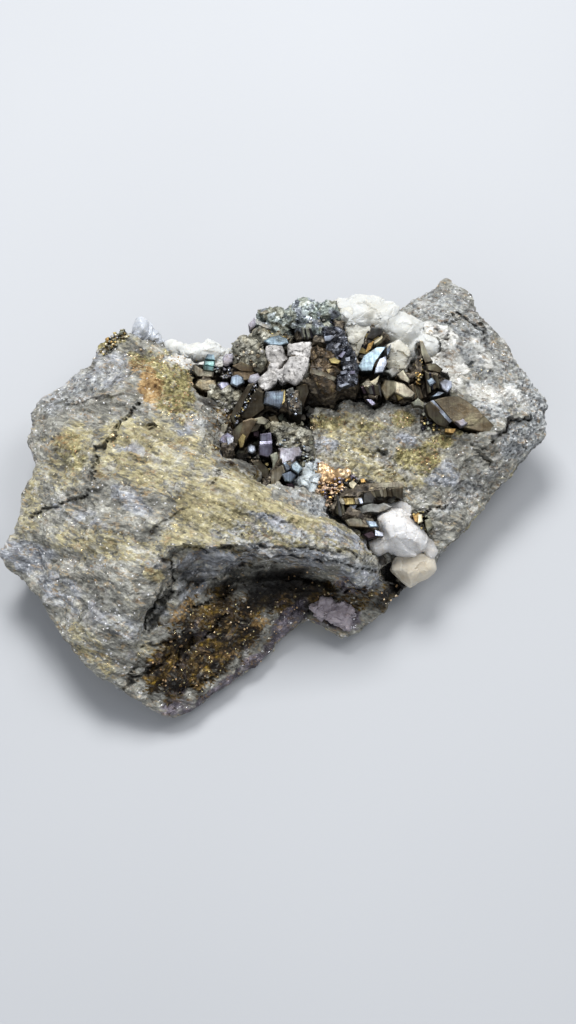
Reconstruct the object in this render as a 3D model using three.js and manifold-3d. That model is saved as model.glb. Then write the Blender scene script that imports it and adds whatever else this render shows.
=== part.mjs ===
// A hand specimen of cubanite: bronze twinned crystals lining a hollow in a slab of sulphide-bearing
// schist, with white calcite on the upper edge and a rounded calcite nodule at the lower right.
// Millimetres, +Z up. The slab lies on its flat back at z = 0 with the crystals facing up, and the
// origin is the middle of the whole specimen's footprint.
import * as THREE from "three";
import { ConvexGeometry } from "three/addons/geometries/ConvexGeometry.js";
import { mergeVertices } from "three/addons/utils/BufferGeometryUtils.js";
import Module from "manifold-3d";

const wasm = await Module();
wasm.setup();

// Driving dimensions
const FACE_TILT = THREE.MathUtils.degToRad(25); // how far the display face leans from level
const FIT_GAP = 0.35; // clearance between pieces that have grown into one another
const LEAST_FEATURE = 0.4; // anything smaller is taken out of the finished solids
const LUMP_SPLIT = 1; // how often a lump's faces are split
const RIM_STEP = 6; // longest stretch between two points of the slab's rim
const SURFACE_CELL = 4.5; // size of a facet of the slab's upper surface
const FRACTURE_RINGS = 5;
const ROCK_GRAIN = 0.6; // height of the slab's surface lumps
const LEDGE = { width: 7, height: 1.1, turn: 52 }; // the schist's broken layers, turned in degrees
const BACK_UNDERCUT = 0.42; // how far the back draws in for each millimetre of rim height
const SLAB_CENTRE = [-2, 6];

// The slab's rim, clockwise from its left tip: x, y and the height of the broken edge
const RIM = [
  [-55.5, -9.5, 13], [-52.5, -5.5, 14], [-52, -1, 15], [-51.5, 3.5, 16], [-49, 7.5, 17],
  [-51, 13.5, 16], [-51, 21, 14], [-49.5, 25, 13], [-43.5, 29, 14], [-39.5, 31, 15],
  [-38.5, 36, 15.5], [-36, 37.5, 16], [-31, 38, 16], [-27, 38, 15], [-23.5, 37.5, 13],
  [-19, 36.5, 11], [-15, 36.5, 10.5], [-11.5, 37, 11], [-9.5, 39, 12], [-7, 40.5, 13],
  [-1, 41.5, 14], [2.5, 42.5, 15], [8, 43, 15], [13, 43, 15], [18, 43.5, 15], [22.5, 44, 15],
  [26, 47.5, 14], [30.5, 51, 13], [32.5, 53.5, 12.5], [35.5, 51, 13], [37.5, 50, 13],
  [39.5, 43.5, 14], [43.5, 37, 15], [45.5, 30.5, 16], [51, 23, 16], [51.5, 21.5, 15],
  [51, 17, 13], [48, 13.5, 12], [43, 7, 11], [37.5, 1, 11], [33, -4.5, 11], [30, -7.5, 12],
  [28.5, -10, 10], [26, -12, 8], [23.5, -13.5, 7], [21.5, -15, 7], [20, -16.5, 7],
  [19, -18.5, 6], [14, -22, 4.5], [10.5, -23, 4], [8.5, -21.5, 4], [4, -19.5, 4], [2.5, -20, 4],
  [-2, -24, 4], [-3.5, -26.5, 4], [-10, -31.5, 4], [-14, -35, 4], [-19, -38, 4], [-22, -39.5, 5],
  [-23.5, -39.5, 6], [-28.5, -36.5, 8], [-34.5, -33.5, 9.5], [-40.5, -28.5, 10.5],
  [-44.5, -23, 11], [-48, -17.5, 12], [-51.5, -13.5, 12.5], [-54, -11.5, 13],
];

// Heights of the upper surface, by region: x, y, z
const SURFACE = {
  leftSlab: [
    [-44.5, 14.5, 19], [-43.5, -0.5, 19], [-46.5, -10, 16], [-39, 20.5, 20], [-33, 27, 20],
    [-27.5, 29.5, 20], [-21, 29.5, 18], [-36, 8.5, 22], [-34, 13.5, 20], [-22.5, 14.5, 23],
    [-18, 13.5, 23], [-26, 1, 24], [-37.5, -6, 21], [-43, -14, 16], [-25.5, -11.5, 24],
    [-16.5, -3.5, 25], [-35, -21.5, 19], [-30.5, -28, 16], [-38, -25.5, 15], [-29, -29.5, 15],
  ],
  tongue: [
    [-11.5, 1.5, 25], [-7, -3.5, 25], [0.5, -8.5, 24.5], [8, -12, 22.5], [14, -14.5, 20.5],
    [-16.5, -12.5, 24], [-9, -12, 24], [2, -13.5, 23], [-21.5, -15, 23], [-27.5, -23.5, 19],
    [4, -3, 21], [11, -7, 19],
  ],
  hollow: [
    [-16, 19, 20], [-14.5, 10.5, 22], [-8.5, 2.5, 23], [-0.5, -2, 21.5], [-8.5, 17.5, 12.5],
    [-3.5, 16, 11.5], [-5.5, 24.5, 13], [0.5, 17.5, 12.5], [1.5, 10, 15], [-2.5, 7.5, 14.5],
    [0.5, 24, 14], [-11.5, 27, 15], [-6.5, 12, 12.5],
  ],
  basin: [
    [6.5, 18, 16], [12.5, 21.5, 16], [12, 13.5, 16], [20, 18, 16.5], [22, 9, 17],
    [12, 7.5, 16.5], [27.5, 11, 17], [34.5, 12.5, 18], [29.5, 4.5, 17.5], [18, 1, 14],
    [23.5, 0, 14.5], [27.5, -4, 14], [12, -1, 16], [20, -6, 12.5], [22, -9, 10],
  ],
  farRight: [
    [31, 45.5, 17], [28.5, 36.5, 20], [35, 36, 19], [40, 28, 19], [44, 20.5, 20],
    [37.5, 20.5, 20], [41.5, 12.5, 18], [47.5, 17.5, 17], [39.5, 7.5, 15], [22.5, 33, 19],
    [26, 28, 19], [32, 20.5, 18],
  ],
  underCrystals: [[12.5, 36, 17], [6.5, 35, 17], [0.5, 34, 16.5], [-5.5, 33, 15.5]],
};

// The broken lower face: the ledge's lip, the foot of its wall and the ground in front of it
const FRACTURE = {
  lip: [
    [-28.5, -39, 9], [-29, -29.5, 15], [-27.5, -23.5, 19], [-23.5, -20.5, 22], [-21.5, -16, 23],
    [-16.5, -13.5, 24], [-9, -13.5, 24], [-2, -14.5, 23.5], [3, -14.5, 23], [8.5, -15.5, 22],
    [13.5, -16.5, 20], [18, -18.5, 17],
  ],
  foot: [
    [-28.5, -38.5, 7], [-29, -30, 12.5], [-27, -23, 16], [-23.5, -19.5, 17.5], [-20.5, -15.5, 17],
    [-15, -13.5, 16], [-8, -12, 14], [-2.5, -11, 14], [3.5, -11, 13], [8.5, -12.5, 11],
    [12.5, -14.5, 9], [17, -17, 6.5],
  ],
  front: [[22, -27, 3], [8, -36, 3], [-9, -46, 3], [-27, -48, 3]],
  floor: [
    [-22, -27.5, 13.5], [-16.5, -26, 10.5], [-12, -19.5, 14], [-7, -22, 9], [-26, -33.5, 8.5],
    [-13, -30.5, 5.5], [-18.5, -36, 4], [-5.5, -24.5, 5], [0.5, -18, 7], [8, -17, 7.5], [14, -18, 5.5],
  ],
  clearTop: 30,
  middle: [-9, -27],
};

// Crystal outlines across the axis, in half-widths
const SECTIONS = {
  block: [[1, 0.9], [-0.94, 1], [-1, -0.92], [0.95, -1]],
  hex: [[1, 0.1], [0.52, 1], [-0.56, 0.96], [-1, 0.05], [-0.5, -1], [0.55, -0.94]],
  blade: [[1, 0.5], [-0.2, 1], [-1, 0.1], [-0.6, -0.9], [1, -0.6]],
  wedge: [[1, -0.1], [0.6, 0.7], [-0.7, 1], [-1, -0.6], [0.35, -1]],
};

// Each crystal: at is the middle of its outer end. wide runs to the right, deep up the display face
// and long into the rock. lean and toward tip its axis away from the face's normal, in degrees.
const CRYSTALS = {
  cubanite_crust: [
    // what the crystals stand on, down in the hollow
    { form: "block", at: [-12, 27.2, 13.8], wide: 14, deep: 7.5, long: 5 },
    { form: "block", at: [2.4, 31, 16], wide: 20, deep: 15.5, long: 7.5 },
    { form: "block", at: [-2.4, 18.6, 13.4], wide: 13, deep: 14, long: 5 },
    { form: "block", at: [-4.4, 8, 13], wide: 14.5, deep: 14, long: 6.5 },
    // the big striated twin at the right of the hollow
    {
      form: "block", at: [7, 25.5, 22.3], wide: 7.4, deep: 6.6, long: 10,
      lean: 34, toward: 92, roll: -16, slant: [0.1, -0.1],
    },
    {
      form: "block", at: [11.8, 25, 22.6], wide: 4.8, deep: 4.6, long: 10,
      lean: 26, toward: 96, roll: -12, slant: [-0.1, 0.05],
    },
    {
      form: "wedge", at: [11, 29.8, 24], wide: 6.4, deep: 4.6, long: 10,
      lean: 30, toward: 60, roll: -38, slant: [0.2, 0.1],
    },
    {
      form: "block", at: [8.2, 32.2, 23.4], wide: 7, deep: 3.2, long: 10,
      lean: 24, toward: 80, roll: -20, slant: [0.15, -0.2],
    },
    {
      form: "blade", at: [13, 27.6, 23.4], wide: 3, deep: 6.4, long: 9,
      lean: 20, toward: 40, roll: 24, slant: [0.2, 0],
    },
    { form: "block", at: [6.2, 22.4, 20], wide: 4.4, deep: 3, long: 7, lean: 20, toward: 110, roll: -24 },
    // grey pitted blocks
    {
      form: "block", at: [2.4, 29.4, 24], wide: 4.8, deep: 3.4, long: 9,
      lean: 14, toward: 84, roll: 3, slant: [0, -0.1],
    },
    {
      form: "block", at: [1, 25.6, 23.4], wide: 4.4, deep: 4.6, long: 9,
      lean: 10, toward: 70, roll: -8, slant: [0.1, 0.15],
    },
    { form: "block", at: [-2.8, 29, 22], wide: 3.6, deep: 3.8, long: 8, lean: 16, toward: 100, roll: 12 },
    { form: "hex", at: [-4, 24.4, 21.6], wide: 3.8, deep: 3.4, long: 10, lean: 22, toward: 100, roll: 8 },
    // the crown along the upper edge
    { form: "wedge", at: [-3, 40, 19.4], wide: 6, deep: 3.4, long: 9, lean: 30, toward: 120, roll: -10 },
    { form: "block", at: [0.6, 39.4, 20.4], wide: 5.4, deep: 3.8, long: 9, lean: 22, toward: 95, roll: 8 },
    {
      form: "block", at: [4.2, 39.6, 21.8], wide: 6, deep: 4.4, long: 10,
      lean: 24, toward: 80, roll: -6, slant: [0, 0.2],
    },
    { form: "wedge", at: [8, 39.2, 22], wide: 5.4, deep: 4.2, long: 10, lean: 24, toward: 70, roll: 14 },
    {
      form: "block", at: [9.2, 36.2, 22.8], wide: 5.4, deep: 3.6, long: 9,
      lean: 26, toward: 60, roll: -12, slant: [0.2, 0],
    },
    { form: "block", at: [3.8, 35.2, 21.8], wide: 5.6, deep: 4.4, long: 9, lean: 30, toward: 95, roll: 2 },
    // the saddle between the crown and the left steps
    {
      form: "block", at: [-7.6, 33, 20.2], wide: 6.2, deep: 5.6, long: 9,
      lean: 22, toward: 130, roll: 14, slant: [-0.2, 0],
    },
    { form: "wedge", at: [-9.2, 30, 18.8], wide: 5.4, deep: 4.4, long: 8, lean: 26, toward: 150, roll: 4 },
    {
      form: "block", at: [-5.6, 29.8, 19.6], wide: 4.6, deep: 4.8, long: 8,
      lean: 20, toward: 100, roll: -12,
    },
    { form: "hex", at: [-2, 33.2, 21.4], wide: 5, deep: 2.4, long: 6, lean: 14, toward: 95, roll: -4 },
    // the left steps
    { form: "hex", at: [-16.2, 25, 18.4], wide: 5, deep: 4.2, long: 8, lean: 38, toward: 92, roll: 4 },
    { form: "block", at: [-17, 28.4, 17.8], wide: 4.4, deep: 2.6, long: 7, lean: 30, toward: 90, roll: -6 },
    { form: "block", at: [-9.9, 25.6, 18.2], wide: 3.2, deep: 2.6, long: 7, lean: 30, toward: 92, roll: 12 },
    {
      form: "block", at: [-10.4, 27.8, 18.2], wide: 4.8, deep: 2.4, long: 7,
      lean: 24, toward: 104, roll: -6,
    },
    // the steel cube, the pillar beside it and the long blade
    {
      form: "block", at: [-2.5, 19.9, 21.5], wide: 4.2, deep: 3.7, long: 10,
      lean: 14, toward: 84, roll: -6, cap: 0.08, taper: 0.93,
    },
    {
      form: "block", at: [1.2, 19.6, 22], wide: 3.2, deep: 5.2, long: 10,
      lean: 22, toward: 92, roll: 7, slant: [0.2, 0],
    },
    {
      form: "blade", at: [-8, 18.6, 21.2], wide: 1.5, deep: 10.4, long: 8.5,
      lean: 12, toward: 140, roll: -37, cap: 0.3,
    },
    { form: "block", at: [-6, 18.6, 18.4], wide: 4, deep: 6.4, long: 7, lean: 16, toward: 330, roll: -34 },
    // prisms on the lower left of the hollow
    {
      form: "hex", at: [-11.4, 9.8, 21.8], wide: 3.8, deep: 4.8, long: 9.5,
      lean: 32, toward: 86, roll: -8, slant: [0.25, 0.1],
    },
    {
      form: "block", at: [-4.6, 12.2, 19.6], wide: 2.8, deep: 2.1, long: 7,
      lean: 20, toward: 90, roll: -4, cap: 0.1, taper: 0.92,
    },
    {
      form: "block", at: [-4.5, 9.9, 18.8], wide: 2.7, deep: 2.7, long: 6,
      lean: 14, toward: 88, roll: -3, cap: 0.1, taper: 0.92,
    },
    // the steel group
    {
      form: "block", at: [0, 8, 20.5], wide: 4.6, deep: 3.4, long: 8,
      lean: 16, toward: 70, roll: -3, slant: [0.1, 0.15],
    },
    {
      form: "block", at: [1.2, 5.5, 21], wide: 3.8, deep: 1.7, long: 7,
      lean: 14, toward: 50, roll: -40, cap: 0.1, taper: 0.95,
    },
    { form: "block", at: [-0.2, 3.5, 20], wide: 2.6, deep: 2.5, long: 5.5, lean: 16, toward: 90, roll: 22 },
    { form: "block", at: [-2.6, 5.8, 18.4], wide: 3, deep: 5, long: 6, lean: 14, toward: 200, roll: -30 },
    { form: "hex", at: [-4, 3.4, 19.2], wide: 2.6, deep: 3.6, long: 5, lean: 16, toward: 60, roll: -36 },
  ],
  cubanite_lower_cluster: [
    { form: "block", at: [12.6, -0.6, 17.8], wide: 9, deep: 6.8, long: 3.4 },
    {
      form: "block", at: [11.5, 0.4, 20], wide: 4.4, deep: 1.7, long: 5,
      lean: 22, toward: 92, roll: -3, cap: 0.1,
    },
    {
      form: "block", at: [17, 2, 19.6], wide: 9.6, deep: 3, long: 5.5,
      lean: 34, toward: 92, roll: 4, cap: 0.12,
    },
    { form: "hex", at: [8.8, -2, 19.8], wide: 2.4, deep: 3.2, long: 5, lean: 12, toward: 90, roll: -20 },
    { form: "wedge", at: [13.4, -4.6, 20.6], wide: 7.2, deep: 3, long: 6, lean: 14, toward: 80, roll: -16 },
    { form: "block", at: [15.8, -6.4, 20.1], wide: 3, deep: 1.8, long: 4, lean: 22, toward: 90, roll: -20 },
  ],
  cubanite_fan: [
    { form: "block", at: [17, 27.6, 18], wide: 4.4, deep: 11.5, long: 4 },
    { form: "blade", at: [15.4, 32, 24], wide: 1, deep: 7.4, long: 7, lean: 16, toward: 150, roll: -22 },
    { form: "blade", at: [17.6, 32.4, 23.8], wide: 0.9, deep: 5, long: 7, lean: 16, toward: 150, roll: -38 },
    {
      form: "wedge", at: [16.6, 28.2, 22.8], wide: 3.4, deep: 5.6, long: 7,
      lean: 22, toward: 60, roll: -34, slant: [0.2, 0],
    },
    { form: "wedge", at: [18.9, 27.2, 22.4], wide: 2.4, deep: 4.4, long: 6, lean: 20, toward: 70, roll: -30 },
    { form: "block", at: [16.6, 22.5, 20.6], wide: 3.8, deep: 3.4, long: 6, lean: 24, toward: 96, roll: -30 },
  ],
  cubanite_bronze_row: [
    { form: "block", at: [26, 24, 18.6], wide: 11, deep: 5.4, long: 4 },
    {
      form: "wedge", at: [22.4, 22.6, 20.8], wide: 6.2, deep: 3.4, long: 6,
      lean: 26, toward: 84, roll: -14, slant: [0, -0.2],
    },
    { form: "hex", at: [23.4, 25.2, 21.8], wide: 4.2, deep: 2.8, long: 6, lean: 20, toward: 80, roll: -22 },
    { form: "blade", at: [25.6, 26.6, 22.6], wide: 2.4, deep: 6, long: 7, lean: 12, toward: 60, roll: -6 },
    {
      form: "blade", at: [26.2, 30.4, 22.4], wide: 0.9, deep: 4.6, long: 4.5,
      lean: 8, toward: 100, roll: 12,
    },
    { form: "hex", at: [28.6, 26, 21.8], wide: 4, deep: 2.8, long: 6, lean: 18, toward: 80, roll: -14 },
    { form: "hex", at: [31, 23.2, 21.8], wide: 2.9, deep: 2.7, long: 5.4, lean: 14, toward: 60, roll: 16 },
  ],
  cubanite_wedge: [
    {
      form: "blade", at: [33.2, 16.8, 21.4], wide: 4.4, deep: 12.2, long: 5.5,
      lean: 8, toward: 60, roll: 58, cap: 0.1,
    },
    { form: "block", at: [28.8, 18.4, 21.4], wide: 3.8, deep: 1.6, long: 5, lean: 16, toward: 90, roll: -40 },
  ],
  chalcopyrite_knot: [
    { form: "block", at: [26.2, -5.4, 17.6], wide: 3.6, deep: 5, long: 2 },
    { form: "hex", at: [25, -5.4, 19.6], wide: 2.6, deep: 2, long: 4, lean: 16, toward: 60, roll: -24 },
    { form: "block", at: [27, -7.2, 18.4], wide: 2.8, deep: 3, long: 4, lean: 14, toward: 40, roll: 14 },
  ],
};

// Rounded and granular pieces: at is the centre, size is wide, deep and tall on the display face
const LUMPS = {
  calcite_nodule: [
    { at: [23, -5.6, 14.8], size: [12.2, 10.2, 10.5], roll: -12, rough: 0.07, seed: 3 },
    { at: [17.2, -9, 15], size: [6, 4.4, 6], roll: 10, rough: 0.08, seed: 5 },
    { at: [24.2, -11, 9.6], size: [9, 8, 9.5], roll: 24, rough: 0.08, seed: 7 },
    { at: [19.6, -11.6, 10.4], size: [5, 4.6, 6], rough: 0.08, seed: 8 },
  ],
  calcite_crest: [
    { at: [11.4, 40.4, 18.4], size: [8.6, 7.4, 9], roll: 12, rough: 0.12, seed: 11 },
    { at: [15.6, 41, 18.6], size: [9.4, 8, 9.5], roll: -8, rough: 0.12, seed: 12 },
    { at: [19.6, 39.4, 18.4], size: [8.6, 8, 9], roll: -20, rough: 0.12, seed: 13 },
    { at: [23.4, 36.8, 18.2], size: [8, 7.6, 8], roll: -30, rough: 0.12, seed: 14 },
    { at: [27, 33.4, 17.6], size: [7, 7, 7], roll: 10, rough: 0.12, seed: 16 },
  ],
  calcite_notch: [
    { at: [-22.4, 36, 12.6], size: [4.8, 3.8, 6], rough: 0.14, seed: 21 },
    { at: [-19.4, 34.8, 13], size: [6.4, 5, 7], roll: 20, rough: 0.14, seed: 22 },
    { at: [-15.4, 35.4, 12.4], size: [7, 4.8, 7], roll: -16, rough: 0.14, seed: 23 },
  ],
  calcite_granules: [
    { at: [3.6, 3.8, 17.4], size: [4.4, 4.6, 4.6], rough: 0.16, seed: 31 },
    { at: [4.8, 6.2, 17.2], size: [2.8, 3.4, 4], roll: 20, rough: 0.16, seed: 32 },
  ],
  chalcopyrite_crust: [
    { at: [7.2, 5.4, 17.2], size: [4.2, 5.2, 4.4], roll: 12, rough: 0.18, seed: 41 },
    { at: [10.2, 5.4, 17.2], size: [4, 3, 3.6], rough: 0.2, seed: 44 },
  ],
  quartz_tip: [{ at: [-29, 38.4, 16.2], size: [3.6, 4, 6], roll: 14, rough: 0.05, seed: 51 }],
};

// Colour, roughness and metalness by the start of a node's name, the first match holding
const FINISHES = [
  ["cubanite", 0x5f5647, 0.35, 0.8],
  ["chalcopyrite", 0xb98a45, 0.35, 0.9],
  ["calcite", 0xe9e8e2, 0.5, 0],
  ["quartz", 0xc9cbd0, 0.25, 0],
  ["matrix", 0x8b8a78, 0.8, 0.1],
];

// Solid helpers

function solidOf(geometry) {
  const bare = geometry.clone();
  bare.deleteAttribute("normal");
  bare.deleteAttribute("uv");
  const merged = mergeVertices(bare, 1e-4);
  return new wasm.Manifold(
    new wasm.Mesh({
      numProp: 3,
      vertProperties: merged.attributes.position.array,
      triVerts: new Uint32Array(merged.index.array),
    }),
  );
}

function geometryOf(solid) {
  const { vertProperties, triVerts } = solid.getMesh();
  const geometry = new THREE.BufferGeometry();
  geometry.setAttribute("position", new THREE.BufferAttribute(vertProperties, 3));
  geometry.setIndex(new THREE.BufferAttribute(triVerts, 1));
  return geometry;
}

function joined(solids) {
  return solids.reduce((whole, next) => whole.add(next));
}

// The largest body of a solid that a cut may have parted
function mainBody(solid) {
  return solid.decompose().reduce((a, b) => (b.volume() > a.volume() ? b : a));
}

// Smooth noise from -1 to 1 that repeats exactly on every run
function hash(i, j, k) {
  const s = Math.sin(i * 127.1 + j * 311.7 + k * 74.7) * 43758.5453;
  return (s - Math.floor(s)) * 2 - 1;
}

function noise(x, y, z) {
  const [i, j, k] = [x, y, z].map(Math.floor);
  const [u, v, w] = [x - i, y - j, z - k].map((t) => t * t * (3 - 2 * t));
  let sum = 0;
  for (const [a, b, c] of CUBE_CORNERS) {
    const weight = (a ? u : 1 - u) * (b ? v : 1 - v) * (c ? w : 1 - w);
    sum += weight * hash(i + a, j + b, k + c);
  }
  return sum;
}
const CUBE_CORNERS = [0, 1].flatMap((a) => [0, 1].flatMap((b) => [0, 1].map((c) => [a, b, c])));

// A surface through scattered heights: each pulls the sheet in proportion to distance
function sheetThrough(points) {
  const n = points.length;
  const reach = (x, y, p) => Math.hypot(x - p[0], y - p[1]);
  const rows = points.map((p, r) => [
    ...points.map((q) => reach(p[0], p[1], q)),
    1,
    p[2],
  ]);
  rows.push([...points.map(() => 1), 0, 0]);
  for (let c = 0; c <= n; c++) {
    let best = c;
    for (let r = c + 1; r <= n; r++) if (Math.abs(rows[r][c]) > Math.abs(rows[best][c])) best = r;
    [rows[c], rows[best]] = [rows[best], rows[c]];
    for (let r = 0; r <= n; r++) {
      if (r === c) continue;
      const share = rows[r][c] / rows[c][c];
      for (let k = c; k <= n + 1; k++) rows[r][k] -= share * rows[c][k];
    }
  }
  const pull = rows.map((row, r) => row[n + 1] / row[r]);
  return (x, y) => points.reduce((z, p, i) => z + pull[i] * reach(x, y, p), pull[n]);
}

// A closed body from rings of points, first to last, with a point that closes each end
function ringBody(rings, firstPoint, lastPoint) {
  const columns = rings[0].length;
  const positions = [...rings.flat(2), ...firstPoint, ...lastPoint];
  const first = rings.length * columns;
  const faces = [];
  for (let c = 0; c < columns; c++) {
    const next = (c + 1) % columns;
    faces.push(first, next, c);
    for (let r = 0; r + 1 < rings.length; r++) {
      const [a, b] = [r * columns, (r + 1) * columns];
      faces.push(a + c, a + next, b + next, a + c, b + next, b + c);
    }
    const end = (rings.length - 1) * columns;
    faces.push(first + 1, end + c, end + next);
  }
  const geometry = new THREE.BufferGeometry();
  geometry.setAttribute("position", new THREE.Float32BufferAttribute(positions, 3));
  geometry.setIndex(faces);
  return geometry;
}

function facingOut(geometry) {
  const solid = solidOf(geometry);
  if (solid.volume() > 0) return solid;
  const order = geometry.index.array;
  for (let i = 0; i < order.length; i += 3) [order[i + 1], order[i + 2]] = [order[i + 2], order[i + 1]];
  return solidOf(geometry);
}

// Rings that shrink an outline towards its centre, each point set to the height of a surface
function innerRings(outline, centre, heightAt, count) {
  return Array.from({ length: count - 1 }, (_, r) => {
    const share = (r + 1) / count;
    return outline.map(([x, y]) => {
      const [px, py] = [centre[0] + share * (x - centre[0]), centre[1] + share * (y - centre[1])];
      return [px, py, heightAt(px, py)];
    });
  });
}

// The slab of rock

function subdivided(outline, step) {
  return outline.flatMap((a, i) => {
    const b = outline[(i + 1) % outline.length];
    const parts = Math.ceil(Math.hypot(b[0] - a[0], b[1] - a[1]) / step);
    return Array.from({ length: parts }, (_, k) => a.map((v, n) => v + ((b[n] - v) * k) / parts));
  });
}

function drawnIn([x, y], inset) {
  const [dx, dy] = [x - SLAB_CENTRE[0], y - SLAB_CENTRE[1]];
  const share = 1 - inset / Math.hypot(dx, dy);
  return [SLAB_CENTRE[0] + dx * share, SLAB_CENTRE[1] + dy * share];
}

// Layers of schist, broken off one behind another, on the left half of the slab
function ledges(x, y) {
  const along = (x * Math.cos(degrees(LEDGE.turn)) + y * Math.sin(degrees(LEDGE.turn))) / LEDGE.width;
  const phase = along + 0.8 * noise(x / 11, y / 11, 7);
  const step = phase - Math.floor(phase);
  const fade = THREE.MathUtils.clamp((6 - x) / 14, 0, 1);
  return LEDGE.height * fade * (Math.min(step * 1.4, (1 - step) * 4) - 0.5);
}

// A block whose upper face follows a surface over the slab's whole footprint
function surfaceBlock(heightAt, [x0, y0], [x1, y1], cell) {
  const [columns, lines] = [Math.ceil((x1 - x0) / cell), Math.ceil((y1 - y0) / cell)];
  const positions = [];
  const faces = [];
  for (const level of [1, 0]) {
    for (let j = 0; j <= lines; j++) {
      for (let i = 0; i <= columns; i++) {
        const inside = i > 0 && j > 0 && i < columns && j < lines;
        const shift = inside ? 0.3 * cell : 0;
        const x = x0 + i * cell + shift * noise(i * 1.7, j * 1.3, 3);
        const y = y0 + j * cell + shift * noise(i * 1.3, j * 1.9, 8);
        positions.push(x, y, level ? heightAt(x, y) : -4);
      }
    }
  }
  const under = (columns + 1) * (lines + 1);
  const at = (i, j) => j * (columns + 1) + i;
  for (let j = 0; j < lines; j++) {
    for (let i = 0; i < columns; i++) {
      const [a, b, c, d] = [at(i, j), at(i + 1, j), at(i + 1, j + 1), at(i, j + 1)];
      if (hash(i, j, 6) > 0) faces.push(a, b, c, a, c, d);
      else faces.push(a, b, d, b, c, d);
      faces.push(under + a, under + c, under + b, under + a, under + d, under + c);
    }
  }
  const skirt = (a, b) => faces.push(a, under + a, under + b, a, under + b, b);
  for (let i = 0; i < columns; i++) {
    skirt(at(i, 0), at(i + 1, 0));
    skirt(at(i + 1, lines), at(i, lines));
  }
  for (let j = 0; j < lines; j++) {
    skirt(at(0, j + 1), at(0, j));
    skirt(at(columns, j), at(columns, j + 1));
  }
  const geometry = new THREE.BufferGeometry();
  geometry.setAttribute("position", new THREE.Float32BufferAttribute(positions, 3));
  geometry.setIndex(faces);
  return facingOut(geometry);
}

// The slab's broken edge: nearly upright at first, then slanting under to the flat back
function edgeBody(rim, clearTop) {
  const walls = [0.22, 0.55, 0.8, 1].map((fall) =>
    rim.map(([x, y, z]) => {
      const block = 1 + 0.6 * noise(x / 9, y / 9, 2) + 0.35 * noise(x / 4, y / 4, fall * 3);
      const inset = BACK_UNDERCUT * z * block * fall ** 1.6 + 0.8 * fall;
      return [...drawnIn([x, y], inset), z * (1 - fall)];
    }),
  );
  const over = rim.map(([x, y]) => [x, y, clearTop]);
  return facingOut(ringBody([over, rim, ...walls], [...SLAB_CENTRE, clearTop], [...SLAB_CENTRE, 0]));
}

function rockSlab() {
  const rim = subdivided(RIM, RIM_STEP);
  const sheet = sheetThrough([...RIM, ...Object.values(SURFACE).flat()]);
  const grain = (x, y) => ROCK_GRAIN * (noise(x / 3, y / 3, 1) + noise(x / 1.4, y / 1.4, 5));
  const heightAt = (x, y) => sheet(x, y) + grain(x, y) + ledges(x, y);
  const upper = surfaceBlock(heightAt, [-57, -44], [54, 56], SURFACE_CELL);
  return edgeBody(rim, 40).intersect(upper);
}

// The chunk that broke out of the lower side, leaving a ledge that overhangs a sloping face
function fractureChunk() {
  const { lip, foot, front, floor, clearTop, middle } = FRACTURE;
  const sheet = sheetThrough([...foot, ...front, ...floor]);
  const rough = (x, y) => sheet(x, y) + 1.3 * noise(x / 3.4, y / 3.4, 9) + 0.5 * noise(x, y, 4);
  const ground = [...foot, ...front];
  const rings = [
    ...innerRings(ground, middle, rough, FRACTURE_RINGS),
    ground,
    [...lip, ...front.map(([x, y]) => [x, y, 12])],
    [...lip.map(([x, y]) => [x, y]), ...front].map(([x, y]) => [x, y, clearTop]),
  ];
  return facingOut(ringBody(rings, [...middle, rough(...middle)], [...middle, clearTop]));
}

// Crystals and lumps

function degrees(turn) {
  return THREE.MathUtils.degToRad(turn);
}

// From a piece's own frame to the specimen's: its z axis starts square to the display face
function placed({ at, lean = 0, toward = 90, roll = 0 }) {
  return new THREE.Matrix4()
    .makeRotationX(FACE_TILT)
    .multiply(new THREE.Matrix4().makeRotationZ(degrees(toward)))
    .multiply(new THREE.Matrix4().makeRotationY(degrees(lean)))
    .multiply(new THREE.Matrix4().makeRotationZ(degrees(roll - toward)))
    .setPosition(...at);
}

function sectionAt({ form, wide, deep }, share, depthOf) {
  return SECTIONS[form].map(([a, b]) => {
    const [x, y] = [(a * wide * share) / 2, (b * deep * share) / 2];
    return new THREE.Vector3(x, y, depthOf(x, y));
  });
}

function crystal(spec) {
  const { wide, deep, long, cap = 0.16, taper = 0.84, slant = [0, 0] } = spec;
  const shoulder = Math.min(cap * Math.min(wide, deep) * 2, long / 2);
  const lean = (x, y) => slant[0] * x + slant[1] * y;
  const corners = [
    ...sectionAt(spec, taper, lean),
    ...sectionAt(spec, 1, (x, y) => lean(x, y) - shoulder),
    ...sectionAt(spec, 0.88, () => -long),
  ];
  return solidOf(new ConvexGeometry(corners).applyMatrix4(placed(spec)));
}

// The room a crystal takes up in whatever surrounds it
function crystalSocket({ long, ...spec }) {
  const grown = { ...spec, wide: spec.wide + 2.4 * FIT_GAP, deep: spec.deep + 2.4 * FIT_GAP };
  const corners = [
    ...sectionAt(grown, 1, () => 4),
    ...sectionAt(grown, 1, () => -long - FIT_GAP),
  ];
  return solidOf(new ConvexGeometry(corners).applyMatrix4(placed(spec)));
}

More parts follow.
